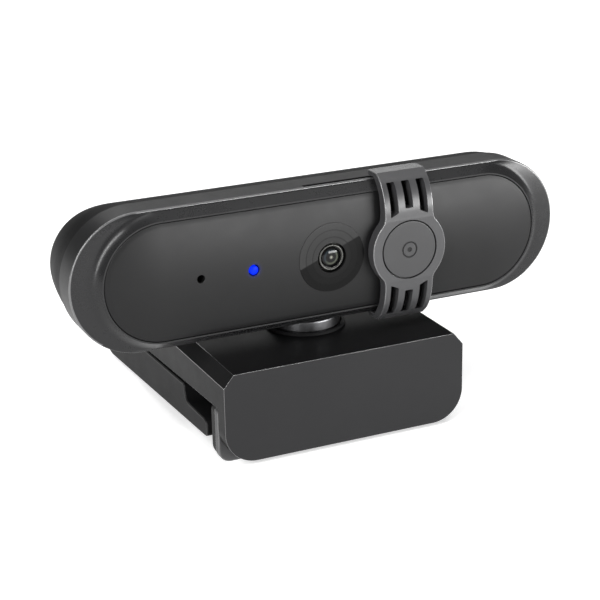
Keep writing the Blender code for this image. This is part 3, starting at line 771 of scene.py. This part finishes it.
DOME_R, DOME_RISE, DOME_BASE = 2.35, 0.78, -2.72
dome = [(DOME_R * x, DOME_BASE - DOME_RISE * y) for x, y in arc((0, 0), 1, 90, 0, 14)]
front_glass = turned(
    "lens_front_dome", [*dome, (DOME_R, -2.6), (0, -2.6)], "Y", (0, 0, 0), 96
)
lens_glass, tree = start_finish(
    "coated_glass", Roughness=0.1, Coat_Weight=0.12, Coat_Roughness=0.03, Specular_IOR_Level=0.12
)
# The glass's colour holds painted light: a small bright painted glint in its middle, and a
# green-grey painted reflection of its coating that grows lighter towards the lower right.
IRIS_R = 1.5
PAINTED_GLINT_R = 0.5
across, height, spread = round_the_bore(tree)
iris = band(spread, IRIS_R, 0.35)
painted_glint = (1 - spread * (1 / (PAINTED_GLINT_R * MM))).clamped()
reflection_slope = ((height - across) * (1 / (2.2 * MM)) + 0.5).clamped()
painted_coating_reflection = reflection_slope.blend((0.05, 0.055, 0.04, 1), (0.015, 0.02, 0.024, 1))
ringed = iris.blend(grey(0.004), painted_coating_reflection)
painted_glint.blend(ringed, (0.2, 0.2, 0.17, 1)).into("Base Color")
hand_over(front_glass, lens_glass, "head", "lens_glass", "lens_front_glass", smooth=60)


def dress(finish, *nodes):
    """Gives frame nodes that stay as they are a finish."""
    for node in nodes:
        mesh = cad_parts[node].data
        mesh.materials.clear()
        mesh.materials.append(finish)


chip_epoxy = moulded("chip_epoxy", (grey(0.016), grey(0.024)), 0.42, 0.08, 0.008)
dress(lens_glass, "lens_rear_glass")
dress(chip_epoxy, "lens_holder", "image_sensor")


# ------------------------------ status light and microphone
# A clear blue rod carries the light of a surface-mounted diode to the panel. The microphone is a
# steel can on the board, with a soft boot that joins it to its hole in the panel.

LIGHT_PIPE_R = 1.05
pipe_profile = [(0, 7.3), (LIGHT_PIPE_R, 7.3)]
pipe_profile += [(LIGHT_PIPE_R * x, -3.55 - 0.35 * y) for x, y in arc((0, 0), 1, 0, 90, 6)]
light_pipe = turned("status_light_pipe", pipe_profile, "Y", (LED_X, 0, 0), 40)
blue_acrylic, tree = start_finish(
    "blue_acrylic", Roughness=0.4, Emission_Strength=1.0, Specular_IOR_Level=0.05
)
spread = round_the_bore(tree, LED_X)[2]
core = (1 - spread * (1 / (LIGHT_PIPE_R * MM)) * 0.6).clamped()
core.blend((0.0, 0.012, 0.8, 1), (0.002, 0.03, 1.1, 1)).into("Emission Color")
core.blend((0.0, 0.004, 0.1, 1), (0.0, 0.006, 0.2, 1)).into("Base Color")
hand_over(light_pipe, blue_acrylic, "head", "light_pipe", "led_light_pipe", smooth=50)

boot = turned(
    "microphone_boot",
    [(2.4, 7.5), (0.9, 7.5), (0.9, 0.9), (1.1, 0.7), (1.9, 0.7), (2.1, 1.0), (2.1, 3.0),
     (2.4, 3.3)],
    "Y", (MIC_X, 0, 0), 48,
)
hand_over(boot, rubber, "head", "rubber", "mic_boot")
dress(steel, "microphone")


# ------------------------------ board
# A green glass-fibre board on two posts, with the image processor and the cable's nylon socket on
# its back. Both screws that hold it are the same pan-head kind as the case's, one size down.

board_mask, tree = start_finish("solder_mask", Roughness=0.35, Coat_Weight=0.4)
place = tree.node("TexCoord", output=3)
cells = tree.node("TexVoronoi", {"distance": "CHEBYCHEV"}, {"Vector": place, "Scale": 700.0})
traces = tree.maths("LESS_THAN", cells, 0.18)
traces.blend((0.006, 0.075, 0.028, 1), (0.012, 0.13, 0.045, 1)).into("Base Color")
nylon = moulded("socket_nylon", (grey(0.6, 0.9), grey(0.72, 0.88)), 0.5, 0.2, 0.01)
dress(board_mask, "main_board")
dress(chip_epoxy, "image_processor")
dress(nylon, "cable_socket", "led_chip")
board_back = span("main_board")[1].y
for side, label in SIDES:
    node = f"board_screw_{label}"
    seat = board_back + 0.15
    screw = cross_screw(
        f"pcb_{node}", 1.7, 0.7, seat, seat + 1.1, 4.0, "Y",
        (side * BOARD_POST[0], 0, BOARD_POST[1]),
    )
    hand_over(screw, steel, "head", "steel", node)


# ------------------------------ tilt joint
# A folded steel bracket is screwed up into the rear case. Its ears hold the pin that the neck's
# tongue turns on, squeezed between two washers by a nut so that the head stays where it is put.

TILT_Z = -12.5
TILT_AT = (0, NECK_Y, TILT_Z)
dress(steel, "tilt_bracket", "bracket_screw_left", "bracket_screw_right")
pin = turned(
    "tilt_pin_rod",
    [(0, 7.4), (1.0, 7.4), (1.2, 7.2), (1.2, -6.1), (2.0, -6.1), (2.0, -7.0), (1.7, -7.3),
     (0, -7.3)],
    "X", TILT_AT, 40,
)
hand_over(pin, steel, "head", "steel", "tilt_pin")
nut = prism("tilt_hex_nut", arc((NECK_Y, TILT_Z), 2.1, 0, 300, 5), "X", 6.05, 7.3)
work(nut, "DIFFERENCE", rod("nut_bore", 1.28, 5, 9, "X", TILT_AT))
soften(nut, 0.12, angle=50, segments=2)
hand_over(nut, steel, "head", "steel", "tilt_nut")


def washer(name, bore, rim, rounding, near, far, centre, steps):
    """A flat washer along X, its rim rounded, from a near face to one further out."""
    way = 1 if far > near else -1
    edge = [(rim - rounding, near), (rim, near + rounding * way)]
    edge += [(rim, far - rounding * way), (rim - rounding, far)]
    return turned(name, [(bore, near), *edge, (bore, far)], "X", centre, steps)


for side, label in SIDES:
    friction_washer = washer(
        f"friction_washer_{label}", 1.3, 2.9, 0.12, side * 2.75, side * 3.65, TILT_AT, 48
    )
    hand_over(friction_washer, steel, "head", "cast_silver", f"tilt_washer_{label}")


# ------------------------------ privacy cover
# One acetal moulding, lighter than the case: a springy strap that hooks into a slot over and under
# the head, with three slits each side of a ring that covers the lens. A thin disc is pressed into
# the ring and engraved with a lens sign, a dot in a circle. Black sheets behind the strap's slits
# are painted shade, and its top face and rounded edges carry a painted highlight.

strap_low, strap_high = span("cover_strap")
disc_low, disc_high = span("cover_disc")
COVER_X = (disc_low.x + disc_high.x) / 2
COVER_FRONT = strap_low.y
STRAP_HALF = 6.1
RING_R = 9.2
DISC_R = (disc_high.x - disc_low.x) / 2
STRAP_TOP = strap_high.z
STRAP_REACH = 1.95
SLIT_STEP, SLIT_TOP, SLIT_CORNER = 3.7, 15.6, 0.25

outer_bend = flowing(
    [(COVER_FRONT, 7.0), (-6.55, 10.0), (-5.75, 13.0), (-4.3, 15.5), (-2.1, STRAP_TOP)], 6
)
inner_bend = flowing([(-4.1, 7.0), (-3.95, 10.0), (-3.3, 12.8), (-1.95, 15.0), (-0.7, 16.3)], 6)
upper = [*outer_bend, (STRAP_REACH, STRAP_TOP), (STRAP_REACH, 16.3), *inner_bend[::-1]]
side_outline = upper + [(y, -z) for y, z in upper[::-1]]
cover = prism("sliding_cover", side_outline, "X", COVER_X - RING_R - 1, COVER_X + RING_R + 1)

neck_z = sqrt(RING_R**2 - STRAP_HALF**2)
shoulder = arc((0, 0), RING_R, 42, -42, 28)
fillet = bend((STRAP_HALF, neck_z + 1.6), (STRAP_HALF, neck_z), shoulder[0], 5)
right_edge = [(STRAP_HALF, 20.0), *fillet, *shoulder[1:-1], *[(x, -z) for x, z in fillet[::-1]]]
right_edge.append((STRAP_HALF, -20.0))
front_outline = [(COVER_X + x, z) for x, z in right_edge + [(-x, z) for x, z in right_edge[::-1]]]
work(cover, "INTERSECT", prism("cover_outline", front_outline, "Y", -9, 5))
soften(cover, 0.55, angle=60, segments=4)

for end in (-1, 1):
    lug_x = (COVER_X - 4, COVER_X + 4)
    work(
        cover, "UNION",
        block("lug", lug_x, (0.75, 1.45), sorted((end * 13.6, end * 16.9))),
        block("foot", lug_x, (0.75, 2.6), sorted((end * 13.3, end * 14.1))),
    )
    for slot in (-1, 0, 1):
        middle = slot * SLIT_STEP
        inner_ends = [sqrt((RING_R + 0.1) ** 2 - (middle + edge) ** 2) for edge in (-1, 1)]
        if slot == 0:
            inner_ends = [value + 0.5 for value in inner_ends]
        corners = [(middle - 1, inner_ends[0]), (middle + 1, inner_ends[1]),
                   (middle + 1, SLIT_TOP), (middle - 1, SLIT_TOP)]
        outline = []
        for number, corner in enumerate(corners):
            before, after = Vector(corners[number - 1]), Vector(corners[(number + 1) % 4])
            corner = Vector(corner)
            start = corner + (before - corner).normalized() * SLIT_CORNER
            end_point = corner + (after - corner).normalized() * SLIT_CORNER
            outline += bend(start, corner, end_point, 3)
        outline = [(COVER_X + x, end * z) for x, z in outline]
        work(cover, "DIFFERENCE", prism("slit", outline, "Y", -9, -1.2))
work(cover, "DIFFERENCE", rod("disc_seat", DISC_R + 0.3, -9, -5.5, "Y", (COVER_X, 0, 0), 128))
soften(cover, 0.14, angle=60, segments=2)

cover_plastic = moulded(
    "cover_acetal", (grey(0.031, 1.04), grey(0.037, 1.04)), 0.34, 0.14, 0.003, specular=0.36
)
# A lighter, glossier copy of the acetal for the strap's top face and rounded edges: its coat is
# real gloss, its lighter colour a painted highlight.
cover_edges = moulded(
    "cover_edges", (grey(0.055, 1.03), grey(0.065, 1.03)), 0.25, 0.14, 0.001, specular=1.0,
    Coat_Weight=0.6, Coat_Roughness=0.25,
)
face_slot(cover, 1, lambda place: place.z > STRAP_TOP - 0.1)
hand_over(cover, cover_plastic, "privacy_cover", "cover_plastic", "cover_strap", second=cover_edges)

# Black sheets behind the strap's slits make them read dark: painted shade.
SHADE_SHEET = 0.3
shade_sheet_bend = [(y + 0.03, z) for y, z in inner_bend if 8.6 < z < 15.8]
shade_sheet_outline = shade_sheet_bend + [(y + SHADE_SHEET, z - 0.1) for y, z in shade_sheet_bend[::-1]]
slit_shade_finish = moulded("black_felt", (grey(0.002), grey(0.005)), 0.95, 0.12, 0.05, specular=0.02)
for end, label in ((1, "upper"), (-1, "lower")):
    shade_sheet = prism(
        f"felt_liner_{label}", [(y, end * z) for y, z in shade_sheet_outline], "X",
        COVER_X - 5.3, COVER_X + 5.3,
    )
    hand_over(shade_sheet, slit_shade_finish, "privacy_cover", "rubber")

ENGRAVED = COVER_FRONT + 0.16
engraved_disc = turned(
    "engraved_disc",
    [(0, disc_high.y), (DISC_R, disc_high.y), (DISC_R, COVER_FRONT + 0.2),
     (DISC_R - 0.06, COVER_FRONT + 0.06), (DISC_R - 0.2, COVER_FRONT), (1.95, COVER_FRONT),
     (1.92, ENGRAVED), (1.58, ENGRAVED), (1.55, COVER_FRONT), (0.57, COVER_FRONT),
     (0.54, ENGRAVED), (0, ENGRAVED)],
    "Y", (COVER_X, 0, 0), 128,
)
ink = moulded("engraving_ink", (grey(0.006), grey(0.01)), 0.6, 0.1, 0.004, specular=0.2)
disc_plastic = moulded(
    "disc_acetal", (grey(0.024, 1.03), grey(0.029, 1.03)), 0.38, 0.14, 0.003, specular=0.3
)
face_slot(engraved_disc, 1, lambda place: abs(place.y - ENGRAVED) < 0.01)
hand_over(engraved_disc, disc_plastic, "privacy_cover", "cover_plastic", "cover_disc", second=ink)


# ------------------------------ neck
# A zinc die casting, turned and satin plated: a round foot that swivels on the clip and an upright
# tongue on the tilt pin. A screw with a wide washer holds its shaft from inside the clip, over a
# spring washer, and a black collar shrouds its edge.

NECK_R = 8.3
foot = [(0, -17.4), (NECK_R - 0.5, -17.4), (NECK_R - 0.15, -17.55), (NECK_R, -17.9)]
foot += [(NECK_R, -20.1), (NECK_R - 0.2, -20.3), (2.6, -20.3), (2.6, -26.0), (0, -26.0)]
neck = turned("die_cast_neck", foot, "Z", NECK_AT, 128)
tongue = [(NECK_Y - 3.2, -18.0), (NECK_Y + 3.2, -18.0), *arc((NECK_Y, TILT_Z), 3.2, 0, 180, 24)]
work(neck, "UNION", prism("tongue", tongue, "X", -2.6, 2.6))
work(
    neck, "DIFFERENCE",
    rod("tongue_bore", 1.28, -5, 5, "X", TILT_AT),
    rod("neck_pilot", 1.3, -30, -20, "Z", NECK_AT, 32),
)
soften(neck, 0.2, angle=50, segments=2)
cast_zinc = machined("turned_zinc", (0.11, 0.11, 0.114, 1), 0.34, "Z")
hand_over(neck, cast_zinc, "neck", "cast_silver", "swivel_neck")
dress(steel, "swivel_screw", "swivel_washer", "wave_washer")

collar = turned(
    "black_collar",
    [(9.5, -20.45), (9.5, -19.9), (9.35, -19.72), (9.1, -19.7), (8.75, -19.72), (8.6, -19.85),
     (8.6, -20.45)][::-1],
    "Z", NECK_AT, 96,
)
clip_plastic = moulded(
    "clip_plastic", (grey(0.0055, 1.04), grey(0.0085, 1.04)), 0.42, 0.24, 0.008, specular=0.07
)
hand_over(collar, clip_plastic, "clip", "clip_plastic", "swivel_collar")


# ------------------------------ clip body
# The top plate that lies on a screen and the block that hangs before it are one glass-filled
# moulding, chamfered along its top edges and cored out from below. Its front face is painted
# lighter as lit, and its rounded edges carry a painted highlight. A hood at its rear covers the
# leg's hinge, whose lug hangs from the plate's middle.

clip_low, clip_high = span("clip_body")
PLATE_HALF = clip_high.x
PLATE_TOP = clip_high.z
PLATE_REAR = clip_high.y
BLOCK_FRONT, BLOCK_BACK = clip_low.y, -6.8
BLOCK_BOTTOM = -42.05
BLOCK_CORNER = 7.6
CHAMFER_WIDE, CHAMFER_DEEP = 2.4, 2.9
HINGE_Y, HINGE_Z = 65.2, -34.5
HINGE_AT = (0, HINGE_Y, HINGE_Z)
HOOD_R = 8.2
LUG_HALF = 11.6
PLATE_SLOPE = tan(radians(2.0))
PLATE_UNDER, UNDER_START = -29.6, -7.0


def plate_bottom(y):
    """Height of the plate's underside, which falls gently towards the hinge."""
    return PLATE_UNDER - (y - UNDER_START) * PLATE_SLOPE


front = [(-PLATE_HALF + CHAMFER_WIDE, PLATE_TOP), (-PLATE_HALF, PLATE_TOP - CHAMFER_DEEP)]
front += arc((-PLATE_HALF + BLOCK_CORNER, BLOCK_BOTTOM + BLOCK_CORNER), BLOCK_CORNER, 180, 270, 24)
front += [(-x, z) for x, z in front[::-1]]
clip = prism("clip_moulding", front, "Y", BLOCK_FRONT, PLATE_REAR)
hood = arc((HINGE_Y, HINGE_Z), HOOD_R, 49.7, 165.0, 24)
side_view = [(BLOCK_BACK, BLOCK_BOTTOM - 1), (BLOCK_FRONT - 1, BLOCK_BOTTOM - 1)]
side_view += [(BLOCK_FRONT - 1, PLATE_TOP + 1), (63.0, PLATE_TOP + 1), (63.0, PLATE_TOP)]
side_view += bend((64.0, PLATE_TOP), (68.6, PLATE_TOP - 0.3), (PLATE_REAR, PLATE_TOP - 4.2), 10)
side_view += hood + [(BLOCK_BACK, plate_bottom(BLOCK_BACK))]
work(clip, "INTERSECT", prism("clip_side", side_view, "X", -PLATE_HALF - 2, PLATE_HALF + 2))
soften(clip, 0.28, angle=32)
work(clip, "DIFFERENCE", block("plate_hollow", (-27.4, 27.4), (-5, 54), (-36, PLATE_TOP - 2.2)))
work(clip, "UNION", rod("swivel_boss", 6.2, -25.2, -22.0, "Z", NECK_AT))
work(clip, "DIFFERENCE", rod("swivel_bore", 2.68, -30, -18, "Z", NECK_AT))
POST_X, POST_Y = (-22, 22), (2, 48)
COVER_POSTS = [(x, y) for x in POST_X for y in POST_Y]
for x, y in COVER_POSTS:
    work(clip, "UNION", rod("cover_post", 2.6, plate_bottom(y) + 1.9, -22.0, "Z", (x, y, 0), 32))
    work(clip, "DIFFERENCE", rod("cover_pilot", 0.95, -36, -24.0, "Z", (x, y, 0), 24))
lug = [(HINGE_Y - 5, -25.0), *arc((HINGE_Y, HINGE_Z), 6.4, 180, 360, 32), (HINGE_Y + 5, -25.0)]
work(clip, "UNION", prism("hinge_lug", lug, "X", -LUG_HALF, LUG_HALF))
work(clip, "DIFFERENCE", rod("lug_bore", 1.68, -14, 14, "X", HINGE_AT))
# A lighter copy of the clip plastic for the block's front face: painted light, the face made
# lighter as lit.
clip_front = moulded(
    "clip_front", (grey(0.0135, 1.04), grey(0.0175, 1.04)), 0.4, 0.24, 0.006, specular=0.1
)
# A lighter, glossier copy for the clip's rounded edges: its coat is real gloss, its lighter colour
# a painted highlight.
clip_edges = moulded(
    "clip_edges", (grey(0.022, 1.04), grey(0.028, 1.04)), 0.26, 0.24, 0.001, specular=1.0,
    Coat_Weight=0.5, Coat_Roughness=0.25,
)
clip.data.materials.append(clip_front)
face_slot(clip, 2, lambda place: place.y < BLOCK_FRONT + 0.01)
hand_over(clip, clip_plastic, "clip", "clip_plastic", "clip_body", second=clip_edges)


def sloping_sheet(name, x, y, top, thickness):
    """A sheet that follows the plate's sloping underside, top being its height at each y."""
    outline = [(y[0], top(y[0])), (y[1], top(y[1]))]
    outline += [(depth, height - thickness) for depth, height in outline[::-1]]
    return prism(name, outline, "X", *x)


underside = sloping_sheet(
    "underside_plate", (-27.1, 27.1), (-4.7, 53.7), lambda y: plate_bottom(y) + 1.6, 1.5
)
for x, y in COVER_POSTS:
    seat = plate_bottom(y) + 1.0
    work(
        underside, "DIFFERENCE",
        rod("screw_hole", 1.1, -36, -24, "Z", (x, y, 0), 24),
        rod("screw_sink", 2.2, -36, seat, "Z", (x, y, 0), 48),
    )
    label = f"{'front' if y == POST_Y[0] else 'rear'}_{'left' if x < 0 else 'right'}"
    screw = cross_screw(
        f"plate_screw_{label}", 1.9, 0.7, seat - 0.1, seat - 0.75, seat + 4.0, "Z", (x, y, 0)
    )
    hand_over(screw, steel, "clip", "steel", f"cover_screw_{label}")
soften(underside, 0.2, angle=50, segments=2)
hand_over(underside, clip_plastic, "clip", "clip_plastic", "underside_cover")


# ------------------------------ lip
# A stiff backing plate behind the block, in a satin plastic painted lighter for the floor's light
# on its front, and the ribbed rubber pad on it that rests against the screen's bezel.


def upright_sheet(name, half, low, high, y, corner):
    """An upright sheet with round lower corners and small round upper ones."""
    small = 1.2
    outline = arc((-half + corner, low + corner), corner, 180, 270, 16)
    outline += arc((half - corner, low + corner), corner, 270, 360, 16)
    outline += arc((half - small, high - small), small, 0, 90, 6)
    outline += arc((-half + small, high - small), small, 90, 180, 6)
    return prism(name, outline, "Y", *y)


BASE = span("lip_plate")[0].z
backing = soften(upright_sheet("lip_backing", 29.9, BASE, -29.95, (-6.65, -4.5), 3.0), 0.3)
# The backing's lighter grey is painted light: it stands in for the floor's light reflected from its
# front.
backing_plastic = moulded(
    "backing_plastic", (grey(0.032, 1.03), grey(0.04, 1.03)), 0.42, 0.2, 0.01, specular=0.3
)
hand_over(backing, backing_plastic, "clip", "clip_plastic", "lip_plate", second=clip_edges)
grip = soften(upright_sheet("lip_grip", 29.8, BASE, -30.2, (-4.35, -2.3), 3.4), 0.4)
RIBS, RIB_PITCH = 13, 0.8
for rib in range(RIBS):
    z = -41.0 + rib * RIB_PITCH
    work(grip, "DIFFERENCE", block("rib_groove", (-26, 26), (-2.55, -1.5), (z, z + 0.3)))
hand_over(grip, rubber, "clip", "rubber", "lip_pad")


# ------------------------------ folding leg
# The leg carries the tripod thread and folds flat under the plate on the hinge pin. It is cored
# out from above, under a cover sheet with a rubber pad, and thinned at its front so that a
# fingertip can pull it open.

KNUCKLE_R = 7.6
LEG_GAP = 0.75
LEG_HALF = span("clip_leg")[1].x


def leg_top(y):
    """Height of the folded leg's upper face, a small gap under the plate."""
    return plate_bottom(y) - LEG_GAP


leg_side = bend((0.6, -39.15), (-0.6, -39.0), (-0.6, -37.4))
leg_side += bend((-0.6, -36.8), (-0.6, -35.0), (1.8, -35.0))
leg_side += bend((10.2, -35.0), (13.0, -34.9), (13.1, leg_top(14.0) - 1.0), 8)
leg_side += bend((13.1, leg_top(14.0) - 0.9), (13.1, leg_top(14.0)), (14.0, leg_top(14.0)), 4)
leg_side += arc((HINGE_Y, HINGE_Z), KNUCKLE_R, 164.7, -90.0, 48)
leg = prism("folding_leg", leg_side, "X", -LEG_HALF, LEG_HALF)
soften(leg, 0.35, angle=60)
TRIPOD_AT = (0, 32.0, 0)
work(leg, "DIFFERENCE", block("leg_hollow", (-27.3, 27.3), (16, 54), (-37.6, -30)))
work(leg, "UNION", rod("tripod_boss", 7.6, BASE, -34.2, "Z", TRIPOD_AT, 96))
work(
    leg, "DIFFERENCE",
    rod("insert_bore", 4.7, BASE - 2, -35.0, "Z", TRIPOD_AT, 64),
    block("lug_gap", (-LUG_HALF - 0.9, LUG_HALF + 0.9), (HINGE_Y - 7.4, HINGE_Y + 10), (-46, -24)),
    rod("pin_bore", 1.68, -25.3, 32, "X", HINGE_AT),
    rod("pin_head_bore", 2.6, 29.0, 32, "X", HINGE_AT),
)
FOOT_X, FOOT_Y = 21, 54.5
for side in (-1, 1):
    foot_at = (side * FOOT_X, FOOT_Y, 0)
    work(leg, "DIFFERENCE", rod("foot_seat", 4.3, BASE - 1, -40.7, "Z", foot_at, 64))
soften(leg, 0.12, angle=70, segments=2)
leg_plastic = moulded(
    "leg_plastic", (grey(0.005, 1.04), grey(0.008, 1.04)), 0.45, 0.24, 0.008, specular=0.05
)
# A slightly lighter copy for the leg's rounded edges: a faint painted highlight.
leg_edges = moulded(
    "leg_edges", (grey(0.008, 1.04), grey(0.012, 1.04)), 0.4, 0.24, 0.001, specular=0.25
)
hand_over(leg, leg_plastic, "leg", "clip_plastic", "clip_leg", second=leg_edges)

leg_lid = sloping_sheet("leg_lid", (-27.0, 27.0), (16.3, 53.7), leg_top, 1.5)
soften(leg_lid, 0.2, angle=60, segments=2)
pad_seat = sloping_sheet("pad_seat", (-22, 22), (20, 46), lambda y: leg_top(y) + 1, 1.7)
work(leg_lid, "DIFFERENCE", pad_seat)
hand_over(leg_lid, clip_plastic, "leg", "clip_plastic", "leg_cover")
leg_grip = sloping_sheet("leg_grip", (-21.7, 21.7), (20.3, 45.7), lambda y: leg_top(y) + 0.1, 0.7)
soften(leg_grip, 0.2, angle=60, segments=2)
hand_over(leg_grip, rubber, "leg", "rubber", "leg_pad")

FOOT_TOP = -41.0
for side, label in SIDES:
    tread = [(0, FOOT_TOP), (4.0, FOOT_TOP), (4.0, BASE + 0.3), (3.9, BASE + 0.1), (3.7, BASE)]
    tread += [(2.9, BASE), (2.7, BASE + 0.25), (2.1, BASE + 0.25), (1.9, BASE), (0, BASE)]
    foot_pad = turned(f"rubber_tread_{label}", tread, "Z", (side * FOOT_X, FOOT_Y, 0), 64)
    hand_over(foot_pad, rubber, "leg", "rubber", f"rubber_foot_{label}")

brass = machined("brass", (0.72, 0.53, 0.24, 1), 0.28, "Z")
INSERT_TOP, INSERT_END = -35.2, BASE + 0.1
THREAD_PITCH = 1.27
INSERT_BORE, THREAD_ROOT = 3.1, 3.55
insert_bore = [(INSERT_BORE, INSERT_TOP)]
turns = int((INSERT_TOP - INSERT_END - 0.8) / THREAD_PITCH)
for turn in range(turns):
    crest = INSERT_TOP - 0.4 - turn * THREAD_PITCH
    insert_bore += [(INSERT_BORE, crest), (THREAD_ROOT, crest - THREAD_PITCH * 0.45)]
    insert_bore.append((INSERT_BORE, crest - THREAD_PITCH * 0.9))
insert_bore += [(INSERT_BORE, INSERT_END + 0.5), (3.5, INSERT_END)]
insert_rim = [(4.45, INSERT_END), (4.6, INSERT_END + 0.2), (4.6, INSERT_TOP)]
insert = turned("threaded_insert", [*insert_bore, *insert_rim], "Z", TRIPOD_AT, 64)
hand_over(insert, brass, "leg", "brass", "tripod_insert")

pin_profile = [(0, 30.1), (2.1, 30.1), (2.4, 29.85), (2.4, 29.2)]
pin_profile += [(1.6, 29.2), (1.6, -24.8), (1.4, -25), (0, -25)]
hinge_rod = turned("hinge_rod", pin_profile, "X", HINGE_AT, 48)
slot = block("driver_slot", (29.7, 31), (HINGE_Y - 3, HINGE_Y + 3), (HINGE_Z - 0.3, HINGE_Z + 0.3))
work(hinge_rod, "DIFFERENCE", slot)
hand_over(hinge_rod, steel, "leg", "steel", "hinge_pin")
for side, label in SIDES:
    near, far = side * (LUG_HALF + 0.15), side * (LUG_HALF + 0.75)
    spacer = washer(f"hinge_spacer_{label}", 1.7, 5.5, 0.1, near, far, HINGE_AT, 64)
    hand_over(spacer, steel, "clip", "steel", f"hinge_washer_{label}")
